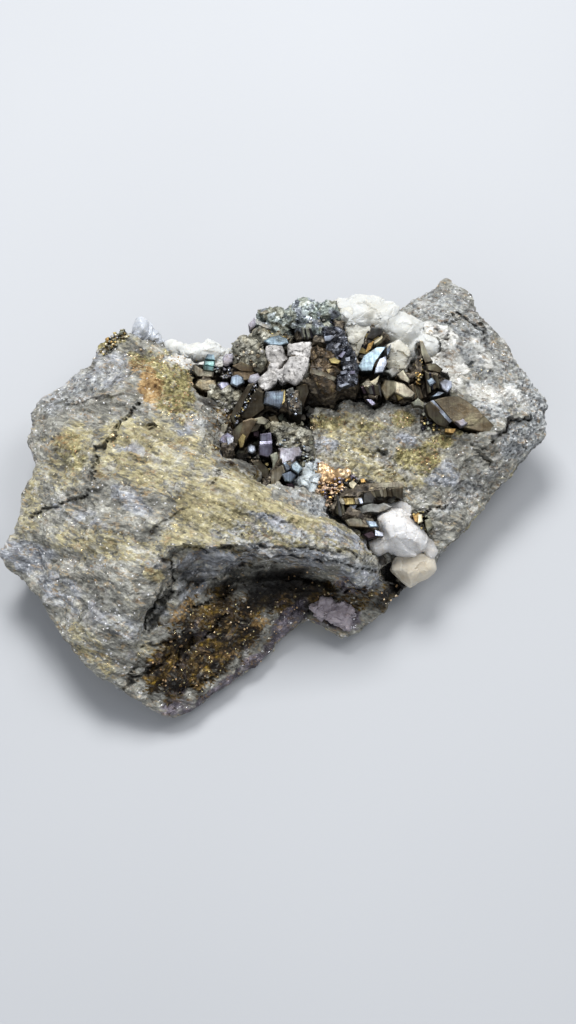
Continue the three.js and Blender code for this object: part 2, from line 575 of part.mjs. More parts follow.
function lump({ at, size, roll = 0, rough, seed }, grow = 0) {
  const geometry = new THREE.IcosahedronGeometry(1, LUMP_SPLIT);
  const places = geometry.attributes.position;
  for (let i = 0; i < places.count; i++) {
    const [x, y, z] = [places.getX(i), places.getY(i), places.getZ(i)];
    const facet = Math.max(Math.abs(x), Math.abs(y) * 1.02, Math.abs(z) * 0.98) * 0.28;
    const swell = 1 + rough * (noise(x * 1.6 + seed, y * 1.6, z * 1.6) * 1.4) - facet + 0.2;
    const finer = rough * 0.7 * noise(x * 4 + seed, y * 4, z * 4);
    const reach = swell + finer;
    places.setXYZ(
      i,
      x * reach * (size[0] / 2 + grow),
      y * reach * (size[1] / 2 + grow),
      z * reach * (size[2] / 2 + grow),
    );
  }
  return solidOf(geometry.applyMatrix4(placed({ at, roll })));
}

// The specimen

function finishOf(name) {
  const [, color, roughness, metalness] = FINISHES.find(([start]) => name.startsWith(start));
  return new THREE.MeshStandardMaterial({ color, roughness, metalness, flatShading: true });
}

function meshOf(name, solid) {
  const geometry = geometryOf(solid.simplify(LEAST_FEATURE));
  geometry.computeBoundingBox();
  const middle = geometry.boundingBox.getCenter(new THREE.Vector3());
  geometry.translate(-middle.x, -middle.y, -middle.z);
  const mesh = new THREE.Mesh(geometry, finishOf(name));
  mesh.name = name;
  mesh.position.copy(middle);
  return mesh;
}

// Every grown piece in turn, each cut back where it meets one that grew before it
function grownPieces() {
  const made = [];
  let taken = null;
  const groups = [
    ...Object.entries(CRYSTALS).map(([name, specs]) => [name, specs, crystal, crystalSocket]),
    ...Object.entries(LUMPS).map(([name, specs]) => [name, specs, lump, (spec) => lump(spec, FIT_GAP)]),
  ];
  for (const [name, specs, shape, socket] of groups) {
    let solid = joined(specs.map((spec) => shape(spec)));
    if (taken) solid = solid.subtract(taken);
    made.push([name, mainBody(solid)]);
    const room = joined(specs.map(socket));
    taken = taken ? taken.add(room) : room;
  }
  return { made, taken };
}

const specimen = new THREE.Group();
const { made, taken } = grownPieces();
const rock = mainBody(rockSlab().subtract(fractureChunk()).subtract(taken));
specimen.add(meshOf("matrix", rock), ...made.map(([name, solid]) => meshOf(name, solid)));

// The origin goes to the middle of the footprint
const extent = new THREE.Box3().setFromObject(specimen);
const middle = extent.getCenter(new THREE.Vector3());
specimen.position.set(-middle.x, -middle.y, 0);
specimen.updateMatrixWorld(true);

export default specimen;
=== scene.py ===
"""Cubanite specimen: bronze crystals in a hollow of foliated schist, with calcite on its upper edge.

The slab lies on its back with the crystals facing up, and the camera looks down on it. Sizes in the
tables are millimetres in the maker's own frame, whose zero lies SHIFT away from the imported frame's.
Places on the display face are steps on a sheet held square to the viewer: 0.195 mm a step, counted
right and down from the sheet's upper left corner.
"""

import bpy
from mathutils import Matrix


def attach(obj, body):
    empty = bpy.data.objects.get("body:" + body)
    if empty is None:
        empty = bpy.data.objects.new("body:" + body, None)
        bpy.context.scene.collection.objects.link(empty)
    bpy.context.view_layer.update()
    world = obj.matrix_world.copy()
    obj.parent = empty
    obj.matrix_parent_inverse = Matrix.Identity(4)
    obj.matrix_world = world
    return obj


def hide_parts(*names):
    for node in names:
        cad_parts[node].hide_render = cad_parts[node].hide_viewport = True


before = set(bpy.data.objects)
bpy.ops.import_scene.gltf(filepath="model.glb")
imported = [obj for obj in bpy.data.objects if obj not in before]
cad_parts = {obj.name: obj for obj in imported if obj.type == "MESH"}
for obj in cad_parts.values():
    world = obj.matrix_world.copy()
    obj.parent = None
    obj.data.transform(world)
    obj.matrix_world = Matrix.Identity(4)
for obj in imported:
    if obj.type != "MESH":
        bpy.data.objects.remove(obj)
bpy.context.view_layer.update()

import logging
import math
from collections.abc import Iterator
from dataclasses import dataclass
from enum import Enum
from functools import cache

import bmesh
import bpy
import numpy as np
from mathutils import Vector

log = logging.getLogger("specimen")

MM = 0.001
SHIFT = np.array((1.971, -7.139, 0.0))  # from the maker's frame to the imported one
AXIS_MIX = (374761393, 668265263, 2147483647)  # odd factors that scramble a cell's place
SEED_MIX, LAYER_MIX = 974711, 1013904223
BIT_MIX = (1274126177, 2246822519)
WORD = 0xFFFFFFFF
REDRAW = 7.31  # makes fresh random numbers out of a cell's place

Array, Mesh, Material = np.ndarray, bpy.types.Mesh, bpy.types.Material
Node, Socket, Tree = bpy.types.Node, bpy.types.NodeSocket, bpy.types.NodeTree
Sockets = bpy.types.bpy_prop_collection
Pair = tuple[float, float]
Line = tuple[float, ...]  # corners in turn, each right and then down
Stops = tuple[tuple[float, str], ...]


def smooth(low: float, high: float, value: Array) -> Array:
    """Eases from 0 at low to 1 at high."""
    t = np.clip((value - low) / (high - low), 0, 1)
    return t * t * (3 - 2 * t)


def colour(code: str) -> tuple[float, float, float, float]:
    """Turns a hex colour into the linear values that shaders read."""
    parts = [int(code[i : i + 2], 16) / 255 for i in (0, 2, 4)]
    linear = [c / 12.92 if c <= 0.04045 else ((c + 0.055) / 1.055) ** 2.4 for c in parts]
    return (*linear, 1.0)


def corners_of(line: Line | Array) -> Array:
    """A line's corners, one a row."""
    return np.reshape(line, (-1, 2)).astype(float)


class Noise:
    """Repeatable noise over points in millimetres, one point a row. Each seed picks another pattern."""

    @staticmethod
    def _hash(cell: Array, seed: int) -> Array:
        """Three values from 0 to 1 for each whole-numbered cell."""
        i = cell.astype(np.int64)
        h = i[..., 0] * AXIS_MIX[0] + i[..., 1] * AXIS_MIX[1] + i[..., 2] * AXIS_MIX[2] + seed * SEED_MIX
        out = []
        for k in (1, 2, 3):
            g = (h + k * LAYER_MIX) & WORD
            g = ((g ^ (g >> 13)) * BIT_MIX[0]) & WORD
            g = ((g ^ (g >> 16)) * BIT_MIX[1]) & WORD
            out.append((g ^ (g >> 15)) / WORD)
        return np.stack(out, -1)

    @staticmethod
    def _around(p: Array, seed: int) -> Iterator[tuple[Array, Array]]:
        """The 27 cells about every point, each with three random numbers."""
        base = np.floor(p)
        for step in np.ndindex(3, 3, 3):
            cell = base + np.array(step) - 1
            yield cell, Noise._hash(cell, seed)

    @staticmethod
    def smooth(points: Array, size: float, seed: int = 0) -> Array:
        """Gradient noise, about -1 to 1, in lumps of a size."""
        p = points / size
        base = np.floor(p)
        f = p - base
        u = f * f * f * (f * (f * 6 - 15) + 10)
        total = np.zeros(len(p))
        for corner in np.ndindex(2, 2, 2):
            c = np.array(corner, float)
            pull = Noise._hash(base + c, seed) * 2 - 1
            weight = np.prod(np.where(c == 1, u, 1 - u), axis=1)
            total += weight * np.einsum("ij,ij->i", pull, f - c)
        return total * 1.6

    @staticmethod
    def layered(points: Array, size: float, octaves: int, seed: int = 0) -> Array:
        """Sums smooth noise at halving sizes."""
        total = np.zeros(len(points))
        for k in range(octaves):
            total += 0.55**k * Noise.smooth(points, size / 2**k, seed + 7 * k)
        return total

    @staticmethod
    def ridges(points: Array, size: float, octaves: int, seed: int = 0) -> Array:
        """Sharp crests, 0 to about 1."""
        total = np.zeros(len(points))
        for k in range(octaves):
            total += 0.5**k * (1 - np.abs(Noise.smooth(points, size / 2**k, seed + 5 * k)) * 1.6)
        return total / 1.6

    @staticmethod
    def cells(points: Array, size: float, seed: int = 0) -> tuple[Array, Array, Array]:
        """Cells of a size about scattered centres.

        Returns:
            Distances to the nearest and second nearest centre in cell sizes, and three
            random numbers for the nearest one.
        """
        p = points / size
        near, second = np.full(len(p), 9.0), np.full(len(p), 9.0)
        chance = np.zeros((len(p), 3))
        for cell, place in Noise._around(p, seed):
            d = np.linalg.norm(cell + place - p, axis=1)
            closer = d < near
            chance[closer] = (place[closer] * REDRAW) % 1.0
            second = np.where(closer, near, np.minimum(second, d))
            near = np.minimum(near, d)
        return near, second, chance

    @staticmethod
    def facets(points: Array, size: float, seed: int = 0) -> tuple[Array, Array]:
        """Broken surfaces, about -1 to 1, with breaks a size apart.

        Returns:
            Heights of hollowed breaks that meet in ridges, and of flat plates with steps between them.
        """
        p = points / size
        lowest, near = np.full(len(p), 9.0), np.full(len(p), 9.0)
        plate = np.zeros(len(p))
        for cell, place in Noise._around(p, seed):
            away = p - cell - place
            slope = (((place * REDRAW) % 1.0) * 2 - 1) * 0.8
            lift = np.einsum("ij,ij->i", away, slope)
            far = np.einsum("ij,ij->i", away, away)
            lowest = np.minimum(lowest, lift + 0.8 * far + 0.4 * slope[:, 0])
            plate = np.where(far < near, 1.4 * lift + 0.3 * slope[:, 1], plate)
            near = np.minimum(near, far)
        return (lowest + 0.15) * 1.5, plate


@dataclass(frozen=True)
class Sheet:
    """The sheet held square to the viewer, on which places on the display face are read."""

    aim: tuple[float, float, float] = (0.0, 0.0, 12.0)
    elevation: float = 65.0
    distance: float = 330.0
    step: float = 0.195
    wide: int = 576
    tall: int = 1024

    @property
    def along(self) -> Array:
        """The way the viewer looks."""
        e = math.radians(self.elevation)
        return np.array((0, math.cos(e), -math.sin(e)))

    @property
    def up(self) -> Array:
        """The sheet's upward way."""
        e = math.radians(self.elevation)
        return np.array((0, math.sin(e), math.cos(e)))

    @property
    def eye(self) -> Array:
        """The viewer's place in the maker's frame."""
        return np.array(self.aim) - self.distance * self.along

    def places(self, points: Array) -> Array:
        """Where points of the maker's frame fall on the sheet, in steps right and down."""
        ray = points - self.eye
        scale = self.distance / self.step / (ray @ self.along)
        return np.stack((self.wide / 2 + ray[:, 0] * scale, self.tall / 2 - (ray @ self.up) * scale), -1)

    def ray(self, place: Pair) -> Array:
        """The way from the eye through a place on the sheet."""
        right = (place[0] - self.wide / 2) * self.step / self.distance
        rise = (self.tall / 2 - place[1]) * self.step / self.distance
        return self.along + np.array((right, 0, 0)) + self.up * rise

    def at_height(self, place: Pair, height: float) -> Array:
        """The point in the maker's frame that is seen at a place on the sheet, at a height."""
        ray = self.ray(place)
        return self.eye + ray * ((height - self.eye[2]) / ray[2])

    def on_plane(self, place: Pair, point: Array, normal: Array) -> Array:
        """The point of a plane that is seen at a place on the sheet."""
        ray = self.ray(place)
        return self.eye + ray * (((point - self.eye) @ normal) / (ray @ normal))

    def turned(self, place: Array, tip: Pair) -> Array:
        """A direction toward the viewer from a place, turned some degrees right and up."""
        ray = self.ray(place)
        right, up = math.radians(tip[0]), math.radians(tip[1])
        normal = -ray / np.linalg.norm(ray) * math.cos(right) * math.cos(up) + self.up * math.sin(up)
        normal = normal + np.array((math.sin(right), 0, 0))
        return normal / np.linalg.norm(normal)

    def rim(self, places: Array, height: float, tip: Pair) -> tuple[Array, Array, Array]:
        """Lays an outline on a tipped plane.

        Args:
            places: the outline on the sheet, one corner a row.
            height: that of its middle.
            tip: degrees that the plane turns right and up from the viewer.

        Returns:
            The middle, the plane's normal and the corners, in the maker's frame.
        """
        middle = places.mean(0)
        centre = self.at_height(middle, height)
        normal = self.turned(middle, tip)
        return centre, normal, np.array([self.on_plane(p, centre, normal) for p in places])

    def facing(self, points: Array, normals: Array) -> Array:
        """How squarely each normal faces the viewer, from -1 to 1."""
        ray = self.eye - points
        ray /= np.linalg.norm(ray, axis=1)[:, None]
        return np.einsum("ij,ij->i", ray, normals)


SHEET = Sheet()


class Zone(Enum):
    """What a stretch of the rock's surface is made of, by the name of its attribute; the zone whose attribute
    is deep is painted shade, not a material.
    """

    STRAW = "straw"
    STEEL = "steel"
    RUST = "rust"
    DRUSE = "druse"
    CHALK = "chalk"
    MILK = "milk"
    BRONZE = "bronze"
    VIOLET = "violet"
    # painted shade: near black over overhangs, clefts and the hollow's shadows
    DEEP = "deep"


@dataclass(frozen=True)
class Patch:
    """A soft-edged oval of one zone on the display face."""

    zone: Zone
    at: Pair
    reach: Pair
    turn: float = 0.0
    strength: float = 1.0

    def share(self, places: Array, wander: Array) -> Array:
        """How much of the zone each place has, 0 to 1."""
        t = math.radians(self.turn)
        d = places - np.array(self.at)
        a = (d[:, 0] * math.cos(t) + d[:, 1] * math.sin(t)) / self.reach[0]
        b = (-d[:, 0] * math.sin(t) + d[:, 1] * math.cos(t)) / self.reach[1]
        return self.strength * smooth(1.25, 0.7, np.hypot(a, b) + wander)


def along(line: Line, places: Array) -> Iterator[tuple[Array, ...]]:
    """How places lie to each stretch of a line.

    Yields:
        The stretch's run, the places from its start, how far along it they are, and how far off it.
    """
    corners = corners_of(line)
    for a, b in zip(corners, corners[1:]):
        run, off = b - a, places - a
        t = off @ run / (run @ run)
        yield run, off, t, np.linalg.norm(off - np.clip(t, 0, 1)[:, None] * run, axis=1)


@dataclass(frozen=True)
class Crack:
    """A cleft along a line on the display face, sunk into the rock and darkened with painted shade."""

    line: Line
    width: float = 2.0
    depth: float = 1.2

    def share(self, places: Array) -> Array:
        """1 along the cleft's middle, falling to 0 past its edge."""
        nearest = np.min([far for *_, far in along(self.line, places)], axis=0)
        return smooth(self.width, self.width * 0.25, nearest)


@dataclass(frozen=True)
class Step:
    """A broken edge along a line on the display face; the rock above a line that runs right stands higher."""

    line: Line
    height: float = 0.8
    width: float = 12.0

    def lift(self, places: Array) -> Array:
        """How far each place is raised, in millimetres."""
        nearest = np.full(len(places), np.inf)
        raised = np.zeros(len(places))
        last = len(self.line) // 2 - 2
        for k, (run, off, t, far) in enumerate(along(self.line, places)):
            above = run[0] * off[:, 1] < run[1] * off[:, 0]
            fade = (smooth(0, 0.5, t) if k == 0 else 1) * (smooth(1, 0.5, t) if k == last else 1)
            raised = np.where(far < nearest, smooth(self.width, 0, far) * above * fade, raised)
            nearest = np.minimum(nearest, far)
        return self.height * raised


# a letter for each zone in the rows below; K is painted shade
S, L, R, D, C, M, B, V, K = (
    Zone.STRAW, Zone.STEEL, Zone.RUST, Zone.DRUSE, Zone.CHALK, Zone.MILK, Zone.BRONZE, Zone.VIOLET, Zone.DEEP,
)

PATCH_ROWS = (
    # straw-yellow schist on the left slab
    (S, 150, 455, 62, 36, 8, 0.8), (S, 215, 512, 50, 30, 25, 0.95), (S, 75, 440, 26, 18, 0, 0.8),
    (S, 60, 470, 22, 20, 0, 0.5), (S, 300, 525, 85, 17, 17), (S, 240, 492, 36, 20, 25),
    (S, 110, 545, 60, 16, 8, 0.55), (S, 200, 540, 45, 16, 10, 0.8), (S, 155, 575, 12, 9, 20, 0.8),
    (S, 92, 650, 12, 30, -40, 0.5), (S, 150, 648, 20, 10, 0, 0.45), (S, 30, 510, 14, 28, 10, 0.6),
    # golden druse and rust near the upper edge
    (D, 173, 382, 24, 32), (D, 145, 362, 16, 14, 0, 0.7), (D, 112, 341, 16, 8, -20, 0.8),
    (D, 185, 412, 16, 12, 0, 0.8), (R, 150, 386, 11, 22, -12), (R, 138, 366, 10, 9, 0, 0.5),
    (R, 64, 440, 9, 6, 0, 0.35), (R, 190, 457, 8, 5, 0, 0.35), (D, 70, 450, 22, 16, 60, 0.55),
    (D, 118, 438, 10, 7, 0, 0.5),
    # blue-grey streaks
    (L, 108, 370, 22, 22, 0, 0.65), (L, 62, 392, 34, 14, -25, 0.55), (L, 128, 498, 26, 11, 25, 0.8),
    (L, 130, 450, 18, 6, 15, 0.6), (L, 74, 512, 34, 9, 20, 0.5), (L, 274, 523, 34, 6, 20, 0.8),
    (L, 345, 538, 42, 9, 22, 0.75), (L, 212, 562, 40, 15, -8, 0.95), (L, 300, 556, 60, 9, 8, 0.85),
    (L, 26, 556, 30, 14, 10), (L, 62, 592, 26, 16, 35, 0.7), (L, 110, 618, 34, 16, 20, 0.5),
    (L, 190, 585, 16, 20, 20, 0.7), (L, 185, 425, 12, 10, 0, 0.7),
    # the basin right of the hollow
    (S, 350, 440, 30, 26, 0, 0.7), (D, 325, 423, 18, 9, 0, 0.7), (D, 401, 420, 13, 9, 0, 0.85),
    (D, 419, 460, 22, 14, 15), (D, 452, 428, 14, 8, 10, 0.6), (D, 372, 428, 18, 8, 0, 0.6),
    (S, 370, 470, 26, 12, 10, 0.7), (D, 438, 441, 17, 8, -10, 0.8), (S, 395, 478, 30, 12, 10, 0.7),
    (L, 345, 397, 20, 8, 0, 0.6), (L, 320, 444, 19, 8, 0, 0.8), (L, 408, 441, 11, 7, 0, 0.9),
    (L, 442, 477, 17, 15), (L, 300, 470, 16, 14, 0, 0.5),
    # pale calcite-bearing rock at the upper right
    (C, 445, 318, 52, 34, 20, 0.55), (C, 432, 352, 38, 24, 20, 0.8), (C, 470, 345, 26, 24, 20, 0.8),
    (C, 500, 380, 46, 28, 40, 0.62), (C, 490, 410, 20, 14, 0, 0.75), (C, 522, 440, 30, 18, -40, 0.95),
    (C, 470, 490, 46, 12, -38, 0.55), (C, 400, 352, 26, 24), (C, 395, 378, 24, 14, 0, 0.6),
    (S, 478, 372, 16, 12, 0, 0.5), (S, 515, 410, 10, 6, 0, 0.6), (C, 340, 385, 14, 8, 0, 0.3),
    (C, 541, 400, 18, 36, -10), (S, 265, 537, 44, 9, 10), (C, 232, 536, 22, 7, 10, 0.6),
    (C, 290, 536, 60, 8, 12, 0.5), (C, 250, 545, 34, 5, 5, 0.5),
    # white calcite between the crystals and the upper edge
    (M, 360, 322, 34, 20), (M, 350, 345, 12, 14), (M, 385, 335, 34, 20, 10), (M, 412, 352, 30, 18, 20),
    (M, 400, 368, 24, 10, 0, 0.7), (M, 436, 340, 22, 16, 25, 0.9), (M, 450, 368, 18, 20, 0, 0.9),
    (M, 478, 352, 20, 12, 30, 0.5), (M, 488, 396, 22, 10, 25, 0.6), (M, 474, 412, 12, 8, 30, 0.55),
    (M, 515, 398, 20, 8, 35, 0.5), (M, 202, 366, 34, 9, 10), (M, 228, 374, 12, 10, 0, 0.8),
    # white near the upper-left notch and down the hollow's wall
    (C, 203, 362, 38, 14, 10, 0.9), (C, 197, 420, 14, 6, 30, 0.55), (C, 222, 412, 10, 14, 0, 0.6),
    (C, 158, 566, 5, 4), (C, 142, 330, 12, 8, 0, 0.5), (C, 66, 400, 34, 11, -28, 0.5),
    (C, 98, 376, 22, 14, -20, 0.45),
    # the broken lower face: golden brown, rust, and the violet quartz rim
    (B, 222, 632, 54, 42, -30), (B, 180, 668, 40, 34, -20), (B, 300, 596, 46, 20),
    (B, 345, 596, 34, 16, 0, 0.8), (B, 392, 596, 18, 16, 0, 0.8), (R, 259, 621, 9, 7, -20, 0.7),
    (R, 184, 610, 16, 6, -35, 0.5), (R, 232, 655, 11, 7, 0, 0.3), (V, 252, 670, 46, 14, -38),
    (V, 290, 622, 26, 12, -35), (V, 212, 700, 24, 10, -28, 0.9), (V, 180, 706, 20, 9, -10, 0.7),
    (V, 336, 618, 26, 14, 15), (V, 345, 585, 16, 10, 0, 0.4), (M, 332, 613, 16, 9, 25, 0.75),
    (S, 368, 547, 6, 9, 0, 0.9), (C, 318, 508, 22, 9, 20, 0.9), (C, 296, 498, 12, 8, 30, 0.6),
    (C, 350, 564, 26, 4, 12, 0.8), (R, 292, 570, 10, 9, 0, 0.35), (L, 360, 578, 26, 14, 0, 0.8),
    # K rows: painted shade under the overhanging ledge and in the cleft beside the cream calcite
    (L, 162, 612, 12, 14, 0, 0.4), (K, 204, 566, 34, 14, -8, 0.4), (K, 290, 562, 60, 9, 8, 0.3),
    (K, 272, 582, 40, 12, -18), (K, 300, 584, 30, 12, 10, 0.8), (K, 258, 600, 18, 12, -30, 0.9),
    (K, 391, 572, 7, 18), (K, 398, 590, 12, 8, -30), (K, 385, 600, 12, 7, -20, 0.8),
    # shadows of the hollow
    (K, 262, 436, 18, 22), (K, 276, 408, 12, 12), (K, 215, 398, 16, 9, 0, 0.8),
    (K, 250, 460, 20, 14, 0, 0.7), (K, 395, 396, 24, 6, 20, 0.5), (K, 424, 420, 12, 8, 0, 0.6),
    (B, 262, 420, 50, 52, 0, 0.8),
)

PATCHES = tuple(Patch(zone, (x, y), (a, b), *more) for zone, x, y, a, b, *more in PATCH_ROWS)

BASIN = Patch(Zone.DRUSE, (392, 440), (92, 58), 8, 0.75)

CRACKS = (
    Crack((214, 590, 232, 582, 248, 576, 270, 572, 300, 574, 328, 582), 8.0, 2.6),
    Crack((170, 592, 163, 604, 155, 616, 148, 628), 5.0, 1.4),
    Crack((378, 552, 384, 566, 390, 580, 398, 590), 7.0, 2.6),
    Crack((166, 560, 174, 555, 184, 549, 196, 548, 206, 553, 214, 552, 224, 547, 242, 549, 262, 552),
        1.9, 0.7),
    Crack((160, 603, 170, 593, 182, 590, 194, 583, 204, 579, 216, 578, 230, 571, 242, 564, 256, 560),
        2.6, 0.9),
    Crack((252, 566, 280, 566, 305, 571, 332, 578), 1.8, 0.6),
    Crack((138, 405, 128, 417, 118, 428, 113, 438), 2.3, 1.6),
    Crack((113, 438, 98, 448, 95, 468, 92, 480), 1.8, 1.3),
    Crack((145, 423, 154, 425)),
    Crack((221, 472, 211, 484), 1.6, 0.9),
    Crack((30, 518, 43, 511, 64, 503, 90, 492), 1.6, 0.9),
    Crack((150, 532, 162, 523, 178, 512), 1.6, 0.7),
    Crack((171, 560, 173, 579, 168, 588, 160, 599), 1.9),
    Crack((162, 597, 154, 608, 146, 618, 141, 628), 2.3, 2.0),
    Crack((142, 643, 160, 642, 173, 638), 1.6, 1.0),
    Crack((130, 676, 139, 666), 1.8, 1.0),
    Crack((122, 688, 142, 675, 160, 662, 172, 656), 1.9, 1.4),
    Crack((194, 607, 209, 602, 224, 598, 240, 582), 2.4, 1.4),
    Crack((196, 640, 182, 655, 176, 668)),
    Crack((228, 612, 216, 622, 206, 640), 1.6, 0.9),
    Crack((180, 690, 200, 684, 216, 676), 1.6, 0.9),
    Crack((448, 321, 452, 314, 463, 314, 473, 322, 480, 326, 484, 339), 2.0, 1.4),
    Crack((434, 329, 449, 341), 1.8, 1.0),
    Crack((469, 366, 475, 361), 1.8, 1.0),
    Crack((530, 417, 509, 420, 506, 431, 492, 439), 2.4, 1.6),
    Crack((476, 452, 489, 463), 2.3),
    Crack((470, 446, 484, 450), 1.6, 0.9),
    Crack((428, 509, 444, 505), 1.8, 1.0),
    Crack((372, 458, 386, 452), 1.6, 0.8),
    Crack((236, 556, 262, 560, 290, 556, 320, 562), 1.6, 1.0),
    Crack((232, 572, 246, 564, 262, 566)),
    Crack((330, 560, 352, 566, 372, 570), 1.6, 0.9),
    Crack((345, 590, 356, 584, 366, 590), 1.8, 1.0),
    Crack((252, 512, 270, 520, 300, 524), 1.6, 0.6),
    Crack((250, 545, 290, 548, 340, 552, 372, 560), 1.6, 0.6),
)

STEPS = (
    # the straw slab over the dark ledge, and the ledge over the broken face
    Step((164, 562, 172, 553, 182, 546, 196, 545, 206, 550, 214, 549, 224, 544, 242, 546, 262, 549), 1.7,
        14),
    Step((158, 600, 168, 590, 180, 587, 192, 580, 203, 576, 215, 575, 228, 568, 240, 561, 254, 557), 1.9),
    Step((152, 632, 149, 621, 160, 606, 172, 588, 171, 572, 166, 560), 1.2, 14),
    Step((250, 560, 275, 562, 300, 566, 330, 573, 352, 582), 0.9, 9),
    Step((262, 550, 292, 552, 322, 558, 348, 568), 0.7, 8),
    Step((290, 543, 318, 546, 345, 552, 368, 560), 0.6, 8),
    Step((236, 556, 250, 552, 268, 555), 0.6, 6),
    # cracks and flaking on the left slab
    Step((92, 484, 95, 468, 98, 448, 113, 438, 128, 417, 138, 405, 142, 396), 0.8, 16),
    Step((24, 520, 43, 511, 64, 503, 90, 493, 104, 484), 0.6, 14),
    Step((60, 405, 80, 402, 98, 396, 112, 398, 128, 394), 0.6),
    Step((120, 532, 140, 534, 158, 526, 178, 512, 196, 503), 0.5),
    Step((206, 500, 222, 507, 244, 512, 270, 522), 0.5, 10),
    Step((40, 585, 62, 578, 88, 582, 110, 594), 0.5),
    Step((84, 640, 104, 630, 126, 634), 0.5, 10),
    # blocks at the upper right and along the right edge
    Step((446, 345, 446, 332, 452, 322, 463, 317, 473, 323, 482, 334, 486, 346), 0.9, 14),
    Step((484, 448, 494, 438, 506, 432, 510, 421, 524, 417, 538, 419), 0.9),
    Step((462, 462, 478, 455, 490, 464, 500, 476), 0.7, 10),
    Step((420, 512, 436, 506, 452, 504), 0.5, 8),
    Step((340, 452, 356, 446, 374, 452, 392, 450), 0.5, 9),
)


def tube_faces(count: int, rings: int) -> list[list[int]]:
    """Faces of a closed body of rings: its first ring, its last one turned over, then its sides."""
    faces = [list(range(count)), list(range(rings * count - 1, (rings - 1) * count - 1, -1))]
    for r in range(rings - 1):
        for c in range(count):
            d = (c + 1) % count
            faces.append([r * count + c, (r + 1) * count + c, (r + 1) * count + d, r * count + d])
    return faces


class MeshStore:
    """Gathers corners, faces and what each face looks like into one mesh."""

    def __init__(self) -> None:
        """Starts empty."""
        self.corners: list[Vector] = []
        self.own: list[tuple[float, float, float]] = []
        self.lit: list[float] = []
        self.faces: list[list[int]] = []
        self.tints: list[tuple[float, ...]] = []
        self.dull: list[float] = []

    def add(self, corners: list, own: list, lit: list, faces: list, tints: list, dull: list) -> None:
        """Adds one closed body, its faces numbered from its own first corner.

        Args:
            corners: places in the maker's frame.
            own: each corner's place along the body's own axes.
            lit: how bright each corner is painted, as painted light and reflection across its faces.
            faces: the corners of each face.
            tints: each face's colour.
            dull: how dull each face is, 0 to 1.
        """
        first = len(self.corners)
        self.corners += corners
        self.own += own
        self.lit += lit
        self.faces += [[first + i for i in f] for f in faces]
        self.tints += tints
        self.dull += dull

    def finish(self, name: str, material: Material) -> bpy.types.Object:
        """Makes the object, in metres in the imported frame, with every face of one material."""
        mesh = bpy.data.meshes.new(name)
        places = (np.array([tuple(c) for c in self.corners]) + SHIFT) * MM
        mesh.from_pydata(places.tolist(), [], self.faces)
        turned = bmesh.new()
        turned.from_mesh(mesh)
        bmesh.ops.recalc_face_normals(turned, faces=turned.faces)
        turned.to_mesh(mesh)
        turned.free()
        mesh.materials.append(material)
        for key, kind, domain, part, values in (
            ("tint", "FLOAT_COLOR", "FACE", "color", self.tints),
            ("dull", "FLOAT", "FACE", "value", self.dull),
            ("lit", "FLOAT", "POINT", "value", self.lit),
            ("own", "FLOAT_VECTOR", "POINT", "vector", self.own),
        ):
            held = mesh.attributes.new(key, kind, domain)
            held.data.foreach_set(part, np.array(values, np.float32).ravel())
        return linked(name, mesh)


def linked(name: str, held: bpy.types.ID) -> bpy.types.Object:
    """Puts a mesh, a lamp or a camera in the scene as an object of its own."""
    made = bpy.data.objects.new(name, held)
    bpy.context.scene.collection.objects.link(made)
    return made


def settled(piece: bpy.types.Object) -> bpy.types.Object:
    """Turns a piece's modifiers into plain mesh and removes them."""
    bpy.context.view_layer.update()
    seen = piece.evaluated_get(bpy.context.evaluated_depsgraph_get())
    mesh = bpy.data.meshes.new_from_object(seen)
    old = piece.data
    piece.modifiers.clear()
    piece.data = mesh
    bpy.data.meshes.remove(old)
    return piece


def copied(name: str, nodes: tuple[str, ...], merge: float = 0.00002) -> bpy.types.Object:
    """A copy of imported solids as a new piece, with corners nearer than merge (metres) made one."""
    joint = bmesh.new()
    for node in nodes:
        joint.from_mesh(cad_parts[node].data)
    bmesh.ops.remove_doubles(joint, verts=joint.verts, dist=merge)
    mesh = bpy.data.meshes.new(name)
    joint.to_mesh(mesh)
    joint.free()
    return linked(name, mesh)


def remeshed(piece: bpy.types.Object, cell: float, ease: int) -> bpy.types.Object:
    """Rebuilds a piece in even cells and eases its edges.

    Args:
        piece: the piece to rebuild.
        cell: cell size in millimetres.
        ease: rounds of smoothing.

    Returns:
        The same piece.
    """
    even = piece.modifiers.new("even", "REMESH")
    even.mode = "VOXEL"
    even.voxel_size = cell * MM
    soften = piece.modifiers.new("soften", "SMOOTH")
    soften.factor = 0.5
    soften.iterations = ease
    return settled(piece)


def read_rows(rows: bpy.types.bpy_prop_collection, part: str) -> Array:
    """One vector of a mesh a row."""
    flat = np.zeros(len(rows) * 3, np.float32)
    rows.foreach_get(part, flat)
    return flat.reshape(-1, 3).astype(float)


def surface_of(mesh: Mesh) -> tuple[Array, Array]:
    """A mesh's corners, in millimetres in the maker's frame, and their normals."""
    return read_rows(mesh.vertices, "co") / MM - SHIFT, read_rows(mesh.vertex_normals, "vector")


def write_points(mesh: Mesh, points: Array) -> None:
    """Moves a mesh's corners to points in the maker's frame."""
    mesh.vertices.foreach_set("co", ((points + SHIFT) * MM).astype(np.float32).ravel())
    mesh.update()


def write_values(mesh: Mesh, name: str, values: Array) -> None:
    """Keeps one number a corner under a name that materials and trees read."""
    held = mesh.attributes.new(name, "FLOAT", "POINT")
    held.data.foreach_set("value", values.astype(np.float32))


def dress(mesh: Mesh, material: Material) -> None:
    """Makes a whole mesh of one material."""
    mesh.materials.clear()
    mesh.materials.append(material)


